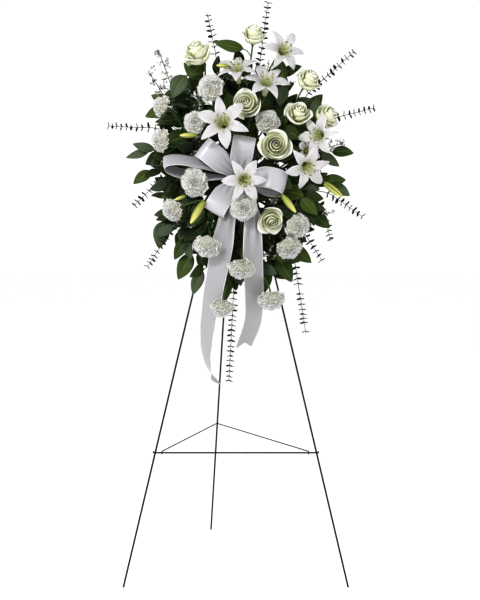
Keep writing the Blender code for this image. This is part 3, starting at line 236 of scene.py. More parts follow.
# Eucalyptus: node, then its sprays as tip, where the leafy part starts
EUCALYPTUS = {
    "eucalyptus_top_left": [((-74, 112, 1486), (-54, 112, 1392))],
    "eucalyptus_top": [((84, 104, 1515), (64, 116, 1352))],
    "eucalyptus_upper_right": [((307, 104, 1388), (196, 118, 1288)), ((358, 118, 1242), (262, 112, 1218))],
    "eucalyptus_left": [((-329, 118, 1196), (-206, 112, 1190)), ((-264, 150, 989), (-200, 118, 1052))],
    "eucalyptus_lower_left": [((-229, 152, 832), (-162, 136, 934))],
    "eucalyptus_bottom": [((-18, 140, 533), (-4, 128, 800))],
    "eucalyptus_lower_right": [((183, 142, 657), (152, 148, 850)), ((225, 160, 845), (180, 140, 915))],
    "eucalyptus_right": [((325, 158, 963), (248, 126, 1018)), ((246, 150, 896), (222, 126, 985))],
}
EUCALYPTUS_LEAF = 0.0150
PAIR_STEP = 0.0152

# Filler: node, tips of its flowering twigs
FILLER = {
    "filler_left": [(-202, 112, 1393), (-226, 112, 1335), (-100, 195, 1106)],
    "filler_right": [(276, 140, 1150), (238, 150, 966), (84, 180, 884)],
}
CLUSTERS = 15
FLORETS = 7

# Close greens between the flowers: how many, and the middle and half sizes of their oval
FILL_LEAVES = 620
FILL_SPRIGS = 52
FILL_MIDDLE = (4, 1080)
FILL_REACH = (202, 276)
FILL_TWIG = 0.085
FILL_FINENESS = (8, 3)
FILL_TWIG_RADIUS = 0.0009
SPRIG_TRIES = 60
SPRIG_FLORETS = 22
# Nodes that the close greens can't reach
FILL_IGNORES = ("branch", "eucalyptus", "filler", "leg_rear", "brace_rear", "brace_front")


def place(spot):
    """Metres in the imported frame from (across, forward, height) in millimetres."""
    return Vector((spot[0], -spot[1], spot[2])) * MM + ORIGIN


def facing(turn, tilt):
    """Unit vector from an angle to the right and an angle up, straight forward at 0, 0."""
    turn = math.radians(turn)
    tilt = math.radians(tilt)
    return Vector((math.sin(turn) * math.cos(tilt), -math.cos(turn) * math.cos(tilt), math.sin(tilt)))


def heading(angle, lean):
    """Unit vector at an angle in the front view, 0 to the right and 90 up, leaning forward."""
    angle = math.radians(angle)
    lean = math.radians(lean)
    return Vector((math.cos(angle) * math.cos(lean), -math.sin(lean), math.sin(angle) * math.cos(lean)))


def basis(axis, hint):
    """Rotation whose Z is the axis and whose Y leans towards the hint."""
    z = axis.normalized()
    x = hint.cross(z).normalized()
    return Matrix((x, z.cross(x), z)).transposed()


def mix(a, b, part):
    return a + (b - a) * part


def around(turn):
    """Unit vectors outward and sideways at an angle in the plan."""
    out = Vector((math.cos(turn), math.sin(turn), 0))
    return out, Vector((-out.y, out.x, 0))


def on_ring(angle, radius, height):
    return Vector((math.cos(angle) * radius, math.sin(angle) * radius, height))


def upward(height):
    return Vector((0, 0, height))


def length_of(line):
    return sum((b - a).length for a, b in zip(line, line[1:]))


def random_way(draw):
    """Unit vector in a random direction."""
    return Vector([draw.uniform(-1, 1) for _ in range(3)]).normalized()


def add_object(name, data):
    made = bpy.data.objects.new(name, data)
    bpy.context.scene.collection.objects.link(made)
    return made


def ease(low, high, value):
    """0 below low, 1 above high and a smooth rise between."""
    part = min(1.0, max(0.0, (value - low) / (high - low)))
    return part * part * (3 - 2 * part)


def path_frames(path):
    """Tangent, side and upper vectors along a path, carried on without twist."""
    tangents = []
    for i in range(len(path)):
        before = path[max(i - 1, 0)]
        after = path[min(i + 1, len(path) - 1)]
        tangents.append((after - before).normalized())
    side = tangents[0].orthogonal().normalized()
    frames = []
    for tangent in tangents:
        side = (side - tangent * side.dot(tangent)).normalized()
        frames.append((tangent, side, tangent.cross(side)))
    return frames


def curve(start, pull_start, pull_end, end, steps):
    points = []
    for k in range(steps + 1):
        t = k / steps
        s = 1 - t
        points.append(start * s ** 3 + pull_start * 3 * s * s * t + pull_end * 3 * s * t * t + end * t ** 3)
    return points


def smooth_line(points, steps):
    """Points on a smooth line through all the given points."""
    line = []
    for k in range(len(points) - 1):
        p0 = points[max(k - 1, 0)]
        p1, p2 = points[k], points[k + 1]
        p3 = points[min(k + 2, len(points) - 1)]
        for j in range(steps):
            t = j / steps
            line.append(0.5 * ((2 * p1) + (p2 - p0) * t + (2 * p0 - 5 * p1 + 4 * p2 - p3) * t * t
                               + (3 * p1 - p0 - 3 * p2 + p3) * t ** 3))
    line.append(points[-1])
    return line


class Skin:
    """Surfaces of one piece, with each point's place on its petal and its own tint."""

    def __init__(self):
        self.points = []
        self.places = []
        self.owns = []
        self.faces = []
        self.looks = []

    def patch(self, rows, tint=0.0, own=MIDDLE_TONE, look=0):
        """Sheet through rows of points from base to tip; tint is a value or one value per point."""
        start = len(self.points)
        across = len(rows[0])
        for i, row in enumerate(rows):
            for j, point in enumerate(row):
                self.points.append(point)
                self.places.append((j / (across - 1), i / (len(rows) - 1)))
                self.owns.append((tint[i][j] if isinstance(tint, list) else tint, own))
        for i in range(len(rows) - 1):
            for j in range(across - 1):
                a = start + i * across + j
                self.faces.append((a, a + 1, a + across + 1, a + across))
                self.looks.append(look)

    def tube(self, path, radii, sides, look=0):
        """Round rod along a path, closed at both ends."""
        if not isinstance(radii, (list, tuple)):
            radii = [radii] * len(path)
        start = len(self.points)
        for i, (point, radius, (_, side, upper)) in enumerate(zip(path, radii, path_frames(path))):
            for j in range(sides):
                angle = math.tau * j / sides
                self.points.append(point + (side * math.cos(angle) + upper * math.sin(angle)) * radius)
                self.places.append((j / sides, i / (len(path) - 1)))
                self.owns.append((0.0, MIDDLE_TONE))
        for i in range(len(path) - 1):
            for j in range(sides):
                k = (j + 1) % sides
                a = start + i * sides
                self.faces.append((a + j, a + k, a + sides + k, a + sides + j))
                self.looks.append(look)
        last = start + (len(path) - 1) * sides
        self.faces.append(tuple(reversed(range(start, start + sides))))
        self.faces.append(tuple(range(last, last + sides)))
        self.looks += [look, look]

    def move(self, turn, shift):
        self.points = [turn @ p + shift for p in self.points]

    def build(self, name, looks, slot, nodes=(), thickness=0.0):
        """Make the piece, let it ride on the stand and stand for its solids."""
        mesh = bpy.data.meshes.new(name)
        mesh.from_pydata(self.points, [], self.faces)
        order = [loop.vertex_index for loop in mesh.loops]
        for layer, values in (("place", self.places), ("own", self.owns)):
            uv = mesh.uv_layers.new(name=layer)
            uv.data.foreach_set("uv", [part for index in order for part in values[index]])
        for look in looks:
            mesh.materials.append(look)
        mesh.polygons.foreach_set("material_index", self.looks)
        mesh.shade_smooth()
        piece = add_object(name, mesh)
        if thickness:
            solid = piece.modifiers.new("thickness", "SOLIDIFY")
            solid.thickness = thickness
            solid.offset = 0.0
        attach(piece, BODY)
        if nodes:
            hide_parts(*nodes)
        return piece


# Materials


class Look:
    """Small helper that wires nodes of one material."""

    def __init__(self, name, roughness):
        self.material = bpy.data.materials.new(name)
        self.material.use_nodes = True
        self.tree = self.material.node_tree
        self.shader = self.tree.nodes["Principled BSDF"]
        self.put({"Roughness": roughness})

    def put(self, values):
        """Set sockets of the shader."""
        for socket, value in values.items():
            self.shader.inputs[socket].default_value = value

    def node(self, kind, values=(), links=(), **settings):
        """Add a node with its settings, socket values and incoming links."""
        made = self.tree.nodes.new(kind)
        for key, value in settings.items():
            setattr(made, key, value)
        for socket, value in dict(values).items():
            made.inputs[socket].default_value = value
        for socket, source in dict(links).items():
            self.tree.links.new(source, made.inputs[socket])
        return made

    def layer(self, name):
        """X and Y of one of the piece's own layers."""
        uv = self.node("ShaderNodeUVMap", uv_map=name)
        split = self.node("ShaderNodeSeparateXYZ", links={"Vector": uv.outputs["UV"]})
        return uv.outputs["UV"], split.outputs["X"], split.outputs["Y"]

    def maths(self, operation, first, second=None, third=None, clamp=False):
        made = self.node("ShaderNodeMath", operation=operation, use_clamp=clamp)
        for index, value in enumerate((first, second, third)):
            if value is None:
                continue
            if isinstance(value, (int, float)):
                made.inputs[index].default_value = value
            else:
                self.tree.links.new(value, made.inputs[index])
        return made.outputs[0]

    def times(self, first, second):
        return self.maths("MULTIPLY", first, second)

    def apart(self, first, second):
        """How far two values are apart."""
        return self.maths("ABSOLUTE", self.maths("SUBTRACT", first, second))

    def blend(self, part, first, second):
        """Mix two colours; each is a tuple or a socket."""
        made = self.node("ShaderNodeMix", data_type="RGBA")
        for socket, value in ((0, part), (6, first), (7, second)):
            if isinstance(value, (tuple, int, float)):
                made.inputs[socket].default_value = (*value, 1.0) if isinstance(value, tuple) else value
            else:
                self.tree.links.new(value, made.inputs[socket])
        return made.outputs[2]

    def noise(self, vector, scale, detail=3.0, stretch=(1, 1, 1)):
        if vector is None:
            vector = self.node("ShaderNodeTexCoord").outputs["Object"]
        mapping = self.node("ShaderNodeMapping", values={"Scale": stretch}, links={"Vector": vector})
        made = self.node("ShaderNodeTexNoise", values={"Scale": scale, "Detail": detail},
                         links={"Vector": mapping.outputs[0]})
        return made.outputs["Fac"]

    def bump(self, height, strength, distance):
        made = self.node("ShaderNodeBump", values={"Strength": strength, "Distance": distance},
                         links={"Height": height})
        self.tree.links.new(made.outputs[0], self.shader.inputs["Normal"])

    def colour(self, source):
        self.tree.links.new(source, self.shader.inputs["Base Color"])

    def rough(self, source):
        self.tree.links.new(source, self.shader.inputs["Roughness"])


def petal_look(name, body, shade, heart, ribs, soft, rim=0.0):
    """Petal: pale body, shade between ridges, heart colour where the piece's tint says; on carnations the
    heart colour is painted shade deep between the petals, and where asked a painted highlight runs along the
    edges.
    """
    look = Look(name, 0.55)
    place_uv, across, _ = look.layer("place")
    _, tint, own = look.layer("own")
    ridges = look.noise(place_uv, 5.0, 2.0, (ribs, 1.0, 1.0))
    blotch = look.noise(None, 90.0)
    pale = look.blend(look.times(ridges, 0.55), body, shade)
    pale = look.blend(look.times(blotch, 0.18), pale, shade)
    pale = look.blend(look.times(own, 0.20), pale, shade)
    pale = look.blend(tint, pale, heart)
    # Painted highlight: near-white along both edges of the petal, as strong as the rim value asks.
    if rim:
        off = look.apart(across, 0.5)
        off = look.maths("MULTIPLY_ADD", off, 12.0, -4.9, clamp=True)
        pale = look.blend(look.times(off, rim), pale, (0.97, 0.97, 0.98))
    look.colour(pale)
    look.bump(ridges, 0.35, 0.0008)
    look.put({
        "Subsurface Weight": soft,
        "Subsurface Radius": (0.007, 0.007, 0.005),
        "Subsurface Scale": 1.0,
        "Specular IOR Level": 0.35,
    })
    return look.material


def leaf_look(name, deep, light, vein, roughness):
    """Leaf: midrib and side veins drawn from the place on the blade, blotched green."""
    look = Look(name, roughness)
    _, across, along = look.layer("place")
    _, tint, own = look.layer("own")
    off = look.apart(across, 0.5)
    midrib = look.maths("SUBTRACT", 1.0, look.times(off, 26.0), clamp=True)
    reach = look.maths("SUBTRACT", along, look.times(off, 0.55))
    comb = look.maths("ABSOLUTE", look.maths("SINE", look.times(reach, 24.0)))
    side = look.maths("SUBTRACT", 1.0, look.times(comb, 5.0), clamp=True)
    blotch = look.noise(None, 45.0)
    base = look.blend(look.maths("ADD", look.times(own, 0.7), look.times(blotch, 0.3)), deep, light)
    dull = look.maths("GREATER_THAN", own, 0.80)
    base = look.blend(look.times(dull, 0.6), base, (0.12, 0.15, 0.12))
    base = look.blend(look.times(side, 0.30), base, vein)
    base = look.blend(look.times(midrib, 0.75), base, vein)
    look.colour(look.blend(tint, base, vein))
    look.bump(look.maths("ADD", midrib, look.times(side, 0.6)), 0.5, 0.0008)
    look.put({"Specular IOR Level": 0.25})
    look.rough(look.maths("MULTIPLY_ADD", blotch, 0.25, roughness - 0.1))
    return look.material


def plain_look(name, dark, light, roughness, scale, depth):
    """Even surface with a mottled colour and a fine grain."""
    look = Look(name, roughness)
    grain = look.noise(None, scale, 4.0)
    look.colour(look.blend(grain, dark, light))
    look.bump(grain, 0.4, depth)
    look.rough(look.maths("MULTIPLY_ADD", grain, 0.25, roughness - 0.12))
    return look.material


def bud_look():
    """Lily bud: yellow-green with dark seams between its petals."""
    look = Look("bud", 0.45)
    _, across, along = look.layer("place")
    seam = look.maths("ABSOLUTE", look.maths("SINE", look.times(across, 3 * math.pi)))
    seam = look.maths("SUBTRACT", 1.0, look.times(seam, 2.4), clamp=True)
    body = look.blend(along, (0.30, 0.36, 0.06), (0.76, 0.74, 0.28))
    look.colour(look.blend(seam, body, (0.07, 0.10, 0.02)))
    look.bump(look.maths("SUBTRACT", 1.0, seam), 0.5, 0.001)
    return look.material


def satin_look(name, body, shade, thread):
    """Satin ribbon: fine weave across and along, lengthwise streaks of painted shade, edges that are woven
    selvedge and painted highlight, soft sheen.
    """
    look = Look(name, 0.34)
    place_uv, across, _ = look.layer("place")
    weft = look.noise(place_uv, 4.0, 2.0, (2.0, 260.0, 1.0))
    # Lengthwise streaks blended towards the shade colour: painted shade of folds and sheen, and the weave's
    # bump.
    warp_shade_streaks = look.noise(place_uv, 4.0, 2.0, (46.0, 6.0, 1.0))
    # The edge lines are the woven selvedge and a painted highlight along both edges of the ribbon.
    edge = look.apart(across, 0.5)
    edge = look.maths("GREATER_THAN", edge, 0.468)
    cloth = look.blend(look.times(warp_shade_streaks, 0.8), body, shade)
    cloth = look.blend(look.times(weft, 0.30), cloth, thread)
    look.colour(look.blend(look.times(edge, 0.9), cloth, (0.93, 0.92, 0.94)))
    look.bump(look.maths("ADD", weft, warp_shade_streaks), 0.10, 0.0004)
    look.put({"Sheen Weight": 0.15, "Specular IOR Level": 0.6})
    return look.material


ROSE = petal_look("rose_petal", (0.95, 0.95, 0.90), (0.88, 0.89, 0.80), (0.84, 0.86, 0.48), 9.0, 0.06)
# The lily's last value is the strength of a painted highlight along its petals' edges.
LILY = petal_look("lily_petal", (0.78, 0.765, 0.77), (0.50, 0.48, 0.52), (0.64, 0.68, 0.24),
                  16.0, 0.10, 0.9)
# Carnation: its heart colour is painted shade, laid deep between the petals where the tint is high.
CARNATION = petal_look("carnation_petal", (0.86, 0.86, 0.85), (0.64, 0.64, 0.61), (0.46, 0.45, 0.32),
                       14.0, 0.10)
LEAF = leaf_look("salal_leaf", (0.022, 0.044, 0.010), (0.115, 0.170, 0.035), (0.24, 0.31, 0.10), 0.45)
# Painted shade: a darker copy of the salal leaf, for the close greens between the flowers.
SHADE_LEAF = leaf_look("shaded_leaf", (0.016, 0.030, 0.009), (0.085, 0.125, 0.034),
                       (0.14, 0.19, 0.06), 0.55)
SEPAL = plain_look("green_stem", (0.045, 0.090, 0.020), (0.12, 0.20, 0.05), 0.5, 300.0, 0.0003)
BUD = bud_look()
STAMEN = plain_look("stamen", (0.50, 0.58, 0.20), (0.66, 0.70, 0.36), 0.5, 400.0, 0.0002)
ANTHER = plain_look("anther", (0.15, 0.14, 0.035), (0.36, 0.34, 0.10), 0.8, 900.0, 0.0003)
EUCALYPTUS_LOOK = leaf_look("eucalyptus_leaf", (0.008, 0.012, 0.010), (0.030, 0.042, 0.036),
                            (0.05, 0.06, 0.05), 0.6)
TWIG = plain_look("twig", (0.020, 0.024, 0.014), (0.055, 0.058, 0.034), 0.7, 500.0, 0.0003)
FLORET = plain_look("floret", (0.10, 0.11, 0.08), (0.82, 0.83, 0.80), 0.7, 190.0, 0.0004)
SATIN = satin_look("satin", (0.64, 0.63, 0.66), (0.48, 0.47, 0.50), (0.70, 0.69, 0.72))
# Painted shade: a darker copy of the loops' satin, for the tails that hang below the bow.
SHADED_TAIL_SATIN = satin_look("tail_satin_painted_shade", (0.50, 0.495, 0.51), (0.39, 0.385, 0.40), (0.55, 0.545, 0.56))
PAINT = plain_look("wire_paint_fine", (0.004, 0.007, 0.005), (0.013, 0.019, 0.015),
                   0.50, 600.0, 0.0002)
PAINT.node_tree.nodes["Principled BSDF"].inputs["Specular IOR Level"].default_value = 0.2
CAGE = plain_look("cage_plastic_fine", (0.010, 0.034, 0.014), (0.022, 0.060, 0.026), 0.5, 200.0, 0.0003)
FOAM = plain_look("foam_fine", (0.010, 0.030, 0.012), (0.030, 0.070, 0.030), 0.95, 1400.0, 0.0010)


# Solids that keep their shape

SOLID_LOOKS = {
    "leg_left": PAINT,
    "leg_right": PAINT,
    "leg_rear": PAINT,
    "head_pin": PAINT,
    "brace_front": PAINT,
    "brace_rear": PAINT,
    "foam_cage": CAGE,
    "foam_block": FOAM,
}


def dress_solids():
    for node, look in SOLID_LOOKS.items():
        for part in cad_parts[node].material_slots:
            part.material = look


# Reading places back from the solids


def solid_tree(node):
    """Quick search over the points of a node's solid."""
    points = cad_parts[node].data.vertices
    tree = KDTree(len(points))
    for index, vertex in enumerate(points):
        tree.insert(vertex.co, index)
    tree.balance()
    return tree


def touches(tree, point):
    return tree.find(point)[2] < SOLID_NEAR


def ring_hits(tree, path, radii, sides, phase, rows):
    """How many points of a solid rod's rings lie on the solid."""
    hits = 0
    frames = path_frames(path)
    for row in rows:
        _, side, upper = frames[row]
        for j in range(sides):
            angle = phase + math.tau * j / sides
            point = path[row] + (side * math.cos(angle) + upper * math.sin(angle)) * radii[row]
            hits += touches(tree, point)
    return hits


def head_seat(node, axis):
    """Middle of the flat base under a head."""
    points = [v.co.copy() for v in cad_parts[node].data.vertices]
    low = min(p.dot(axis) for p in points)
    base = [p for p in points if p.dot(axis) < low + 0.2 * MM]
    lows = [min(p[i] for p in base) for i in range(3)]
    highs = [max(p[i] for p in base) for i in range(3)]
    return (Vector(lows) + Vector(highs)) / 2


def tries(key, count, reach):
    """The small shifts that the solids tried in turn."""
    yield Vector((0, 0, 0)), 0.0
    for attempt in range(1, count):
        draw = random.Random(f"{key} {attempt}")
        size = reach * min(1.0, 0.15 + attempt / count)
        shift = Vector([draw.uniform(-1, 1) * size for _ in range(3)])
        yield shift, draw.uniform(-1, 1) * min(1.0, 0.2 + attempt / count)


# Heads


GOLDEN_TURN = math.pi * (3 - math.sqrt(5))
ROSE_PETALS = 15


def rose(width, draw):
    """Tight spiral heart inside broad petals that curl back to a point."""
    r = width / 2
    h = width * 0.78
    skin = Skin()
    bowl = []
    for i in range(6):
        v = i / 5
        radius = r * (0.10 + 0.62 * math.sin(v * math.pi / 2))
        height = h * (0.06 + 0.36 * v ** 1.6)
        bowl.append([on_ring(a * math.tau / 24, radius, height) for a in range(25)])
    skin.patch(bowl, 0.5, 0.2)
    for k in range(ROSE_PETALS):
        part = k / (ROSE_PETALS - 1)
        outer = ease(0.55, 0.85, part)
        turn = k * GOLDEN_TURN + draw.uniform(-0.18, 0.18)
        ring = r * (0.08 + 0.72 * part ** 1.1 + draw.uniform(-0.02, 0.02) * part)
        top = h * (0.985 - 0.33 * part ** 2.2 + draw.uniform(-0.01, 0.01) * part)
        low = h * mix(0.35, 0.05, part)
        wrap = math.radians(mix(96, 54, part))
        curl = ease(0.20, 1.0, part) * draw.uniform(0.8, 1.25)
        corner = draw.uniform(-0.35, 0.35)
        wave = draw.uniform(0, math.tau)
        rows = []
        tints = []
        for i in range(11):
            v = i / 10
            rim = ease(0.60, 1.0, v)
            row = []
            tint = []
            for j in range(13):
                u = j / 6 - 1
                away = abs(u - corner) / (1 + abs(corner))
                outline = 1 - mix(0.14, 0.30, part) * abs(u) ** 2.5 - 0.10 * outer * away
                cup = math.sin(min(1.0, v / 0.6) * math.pi / 2) ** 0.9
                radius = mix(0.12 * r, ring, cup)
                radius += r * rim * (curl * mix(0.08, 0.24 * (1 - 0.95 * away), outer) - 0.03 * (1 - part))
                radius *= 1 + mix(0.20, 0.10, part) * u + 0.025 * part * math.sin(3.5 * u + wave) * v
                height = low + (top - low) * (v * outline) ** 0.85 - 0.13 * h * curl * rim ** 2
                angle = turn + u * wrap * (0.42 + 0.58 * math.sin(min(1.0, v / 0.7) * math.pi / 2))
                row.append(on_ring(angle, radius, height))
                deep = 0.95 * (1 - part) ** 1.2 + 0.45 * (1 - v) ** 1.2
                tint.append(min(1.0, deep) * (1 - ease(0.78, 0.94, v)))
            rows.append(row)
            tints.append(tint)
        skin.patch(rows, tints, draw.random() * 0.6)
    for k in range(5):
        turn = math.tau * k / 5
        rows = []
        for i in range(6):
            v = i / 5
            half = 0.16 * r * math.sin(math.pi * min(1.0, v * 0.85 + 0.15)) * (1 - 0.5 * v)
            out, side = around(turn)
            middle = out * (0.10 + 0.36 * v) * r + upward(h * (0.02 + 0.20 * v ** 1.4))
            rows.append([middle - side * half, middle + upward(-0.0006), middle + side * half])
        skin.patch(rows, 0.0, 0.5, 1)
    return skin


# Tiers of a carnation as (reach, level, petals, half width), in parts of its radius and height
CARNATION_TIERS = [
    (1.00, 0.34, 8, 0.46), (0.92, 0.50, 8, 0.42), (0.80, 0.66, 8, 0.38), (0.64, 0.79, 7, 0.34),
    (0.47, 0.89, 6, 0.30), (0.30, 0.96, 5, 0.26), (0.13, 0.99, 4, 0.20),
]


def dome(skin, r, h, share, draw):
    """Closed layers under the petals' edges, in the petals' look and tinted most of the way to the heart
    colour: painted shade in the gaps between the petals.
    """
    rows = []
    for i in range(8):
        v = i / 7
        ring = []
        for j in range(25):
            angle = math.tau * j / 24
            radius = r * share * math.cos(v * math.pi / 2) + 0.0002
            radius *= 1 + 0.05 * math.sin(7 * angle + 3 * v)
            height = h * (0.22 + (share - 0.22) * math.sin(v * math.pi / 2))
            ring.append(on_ring(angle, radius, height))
        rows.append(ring)
    skin.patch(rows, 0.7, draw.random() * 0.5)


def carnation(width, draw):
    """Tiers of fan-shaped petals with ruffled, toothed edges."""
    r = width / 2
    h = width * 0.62
    skin = Skin()
    dome(skin, r, h, 0.80, draw)
    last = len(CARNATION_TIERS) - 1
    for tier, (reach, level, count, half) in enumerate(CARNATION_TIERS):
        for k in range(count):
            turn = math.tau * (k + draw.uniform(-0.25, 0.25)) / count + tier * 0.7
            far = r * reach * draw.uniform(0.84, 1.06)
            high = h * (level + draw.uniform(-0.06, 0.05))
            fan = r * half * draw.uniform(0.90, 1.15)
            wave = draw.uniform(0, math.tau)
            ruffle = r * draw.uniform(0.09, 0.14)
            out, side = around(turn)
            inner = tier / last
            normal = (Vector((0, 0, 1)) * (1 - 0.65 * inner) - out * (0.15 + 0.85 * inner)).normalized()
            rows = []
            tints = []
            for i in range(7):
                v = i / 6
                row = []
                tint = []
                for j in range(15):
                    u = j / 7 - 1
                    tooth = 1 + (0.05 if j % 2 else -0.04) * ease(0.75, 1.0, v) - 0.20 * u * u * v
                    along = v * tooth
                    radial = far * (0.08 + 0.92 * along ** (1.15 + 0.5 * inner))
                    rise = mix(0.06 * h, high, min(1.0, along) ** mix(1.1, 0.7, inner))
                    frill = ruffle * math.sin(4.4 * u + wave) * v ** 2.2
                    frill += 0.22 * ruffle * math.sin(11 * u + 2 * wave) * v ** 4
                    point = out * radial + upward(rise) + side * u * fan * (0.10 + 0.90 * v ** 1.1)
                    row.append(point + normal * frill)
                    # Painted shade: the heart colour darkens each petal towards its base, deep in the head.
                    tint.append(0.85 * (1 - ease(0.45, 0.88, v)))
                rows.append(row)
                tints.append(tint)
            skin.patch(rows, tints, draw.random() * 0.7)
    calyx = [Vector((0, 0, z * h)) for z in (-0.03, 0.02, 0.10, 0.17)]
    skin.tube(calyx, [0.10 * r, 0.15 * r, 0.17 * r, 0.14 * r], 10, 1)
    return skin


def trumpet(size, height, line, draw, narrow, drop, curl):
    """Six petals that leave one throat and spread; odd ones are narrower."""
    skin = Skin()
    path = [Vector((x * size, 0, z * height)) for x, _, z in line]
    widths = [Vector((w * size, 0, 0)) for _, w, _ in line]
    fine = smooth_line(path, 4)
    wide = smooth_line(widths, 4)
    for k in (1, 3, 5, 0, 2, 4):
        turn = math.tau * k / 6
        out, side = around(turn)
        slim = narrow if k % 2 else 1.0
        fall = drop if k % 2 else 0.0
        wave = draw.uniform(0, math.tau)
        bend = draw.uniform(-0.04, 0.04)
        rows = []
        tints = []
        total = len(fine) - 1
        for i, (point, width) in enumerate(zip(fine, wide)):
            v = i / total
            before = fine[max(i - 1, 0)]
            after = fine[min(i + 1, total)]
            slope = (after - before).normalized()
            tangent = out * slope.x + Vector((0, 0, slope.z))
            upper = side.cross(tangent)
            upper = upper if upper.z > 0 or upper.dot(out) < 0 else -upper
            open_part = ease(0.30, 0.65, v)
            half = width.x * mix(1.0, slim, open_part) / 2
            middle = out * point.x + Vector((0, 0, point.z - fall * point.x / size * height))
            middle += side * bend * size * v * v
            row = []
            tint = []
            for j in range(9):
                u = j / 4 - 1
                cupped = half * (0.34 * (1 - v) - curl * v) * u * u
                ripple = 0.018 * size * math.sin(9 * v + 2.2 * u + wave) * abs(u)
                ripple = ripple * open_part * (1 - ease(0.9, 1, v))
                rib = -0.026 * size * math.exp(-(u * 4.5) ** 2) * (1 - v * v)
                rib += 0.012 * size * math.exp(-((abs(u) - 0.45) * 5) ** 2) * (1 - v)
                row.append(middle + side * u * half + upper * (cupped + ripple + rib))
                throat = 1 - ease(0.12, 0.46, v)
                stripe = math.exp(-(u * 6.0) ** 2) * (1 - ease(0.45, 0.75, v))
                tint.append(min(1.0, 0.70 * throat + 0.30 * stripe * open_part))
            rows.append(row)
            tints.append(tint)
        skin.patch(rows, tints, draw.random() * (0.3 if k % 2 else 1.0))
    return skin


# Petal line of a lily as (reach, width, level), in parts of the head's size and height
LILY_LINE = [
    (0.07, 0.09, 0.0), (0.10, 0.14, 0.22), (0.17, 0.24, 0.50), (0.29, 0.38, 0.74), (0.52, 0.47, 0.87),
    (0.72, 0.39, 0.875), (0.88, 0.22, 0.83), (0.96, 0.10, 0.775), (1.0, 0.01, 0.72)
]
ALSTROEMERIA_LINE = [
    (0.12, 0.14, 0.0), (0.16, 0.20, 0.30), (0.26, 0.32, 0.56), (0.42, 0.46, 0.76), (0.72, 0.60, 0.94),
    (0.92, 0.36, 0.98), (1.0, 0.03, 0.98)
]


def add_stamens(skin, size, height, draw):
    """Six filaments with hinged anthers round one thicker style."""
    throat = upward(0.30 * height)
    pull_throat = throat + upward(0.3 * height)
    for k in range(6):
        turn = math.tau * (k + 0.5) / 6
        out, side = around(turn)
        tip = out * 0.25 * size + upward(1.10 * height)
        pull_tip = tip - out * 0.08 * size - upward(0.2 * height)
        line = curve(throat, pull_throat, pull_tip, tip, 7)
        skin.tube(line, [0.0007] * 4 + [0.00055] * 4, 6, 1)
        swing = (side * draw.uniform(0.5, 1.0) + out * draw.uniform(-0.6, 0.6)).normalized()
        anther = [tip + swing * part * 0.0045 for part in (-1, -0.7, 0, 0.7, 1)]
        skin.tube(anther, [0.0004, 0.0010, 0.0012, 0.0010, 0.0004], 6, 2)
    lean = Vector((draw.uniform(-1, 1), draw.uniform(-1, 1), 0)) * 0.05 * size
    tip = lean + upward(1.14 * height)
    style = curve(throat, pull_throat, tip - upward(0.25 * height), tip, 7)
    skin.tube(style + [tip + upward(0.001)], [0.0011] * 7 + [0.0018, 0.0012], 8, 1)


def lily(width, draw):
    size = width / 2
    skin = trumpet(size, size, LILY_LINE, draw, 0.74, 0.05, 0.16)
    add_stamens(skin, size, size, draw)
    return skin


def alstroemeria(width, draw):
    size = width / 2
    skin = trumpet(size, width * 0.6, ALSTROEMERIA_LINE, draw, 0.8, 0.0, 0.05)
    add_stamens(skin, size, width * 0.45, draw)
    return skin


# Builder, looks and petal thickness of each kind of flower
HEAD_KINDS = {
    "rose": (rose, [ROSE, SEPAL], 0.0005),
    "lily": (lily, [LILY, STAMEN, ANTHER], 0.0006),
    "carnation": (carnation, [CARNATION, SEPAL], 0.0004),
    "alstroemeria": (alstroemeria, [LILY, STAMEN, ANTHER], 0.0005),
}


def head_rows():
    """Node, kind, face and width of every head."""
    for kind, table in (("rose", ROSES), ("lily", LILIES), ("carnation", CARNATIONS)):
        for k, row in enumerate(table):
            yield f"{kind}_{k + 1}", kind, row
    yield "alstroemeria", "alstroemeria", ALSTROEMERIA


HEADS = {}
STEMS = []


def make_heads():
    for node, kind, (turn, tilt, width) in head_rows():
        axis = facing(turn, tilt)
        base = head_seat(node, axis)
        HEADS[node] = (base, axis)
        shape, looks, thickness = HEAD_KINDS[kind]
        skin = shape(width * MM, random.Random(node + " petals"))
        spin = random.Random(node + " spin").uniform(0, math.tau) + math.radians(HEAD_TURNS.get(node, 0))
        skin.move(basis(axis, Vector((0, 0, 1))) @ Matrix.Rotation(spin, 3, "Z"), base)
        skin.build(node + "_petals", looks, "petal_white", [node], thickness)


# Greens


def holder(across, out, down):
    turn = Matrix.Rotation(-LEAN, 3, "X")
    return Vector((0, 0, PIN_HEIGHT)) + turn @ Vector((across, -out, -down)) + ORIGIN


def root_start(name):
    """Where the stems leave the peg of a foam hole, and the direction out of the hole."""
    face, along, out = HOLES[name]
    turn = Matrix.Rotation(-LEAN, 3, "X")
    half = FOAM_WIDTH / 2
    spots = {
        "top": ((along * MM, out * MM, FOAM_TOP), (0, 0, 1)),
        "bottom": ((along * MM, out * MM, FOAM_BOTTOM), (0, 0, -1)),
        "left": ((-half, out * MM, along * MM), (-1, 0, 0)),
        "right": ((half, out * MM, along * MM), (1, 0, 0)),
        "front": ((along * MM, FOAM_BACK + FOAM_DEPTH, out * MM), (0, -1, 0)),
    }
    spot, normal = spots[face]
    normal = turn @ Vector(normal)
    return holder(*spot) + normal * 0.005, normal


def root_line(start, normal):
    """Cut stem end in the foam, out to where the stems begin."""
    return [start + normal * reach for reach in ROOT_REACH]


def stalk(start, leave, end, arrive, swing, steps):
    reach = (end - start).length
    toward = (end - start).normalized()
    pull_start = start + (leave + toward).normalized() * reach * 0.32 + swing
    pull_end = end - arrive * min(0.035, reach * 0.3) + swing * 0.4
    return curve(start, pull_start, pull_end, end, steps)


def nearest_on(lines, goal, skip_end):
    best = None
    for line in lines:
        for a, b in zip(line[1:skip_end], line[2:]):
            for part in (0.2, 0.6):
                spot = a.lerp(b, part)
                if best is None or (spot - goal).length < (best[0] - goal).length:
                    best = (spot, (b - a).normalized())
    return best


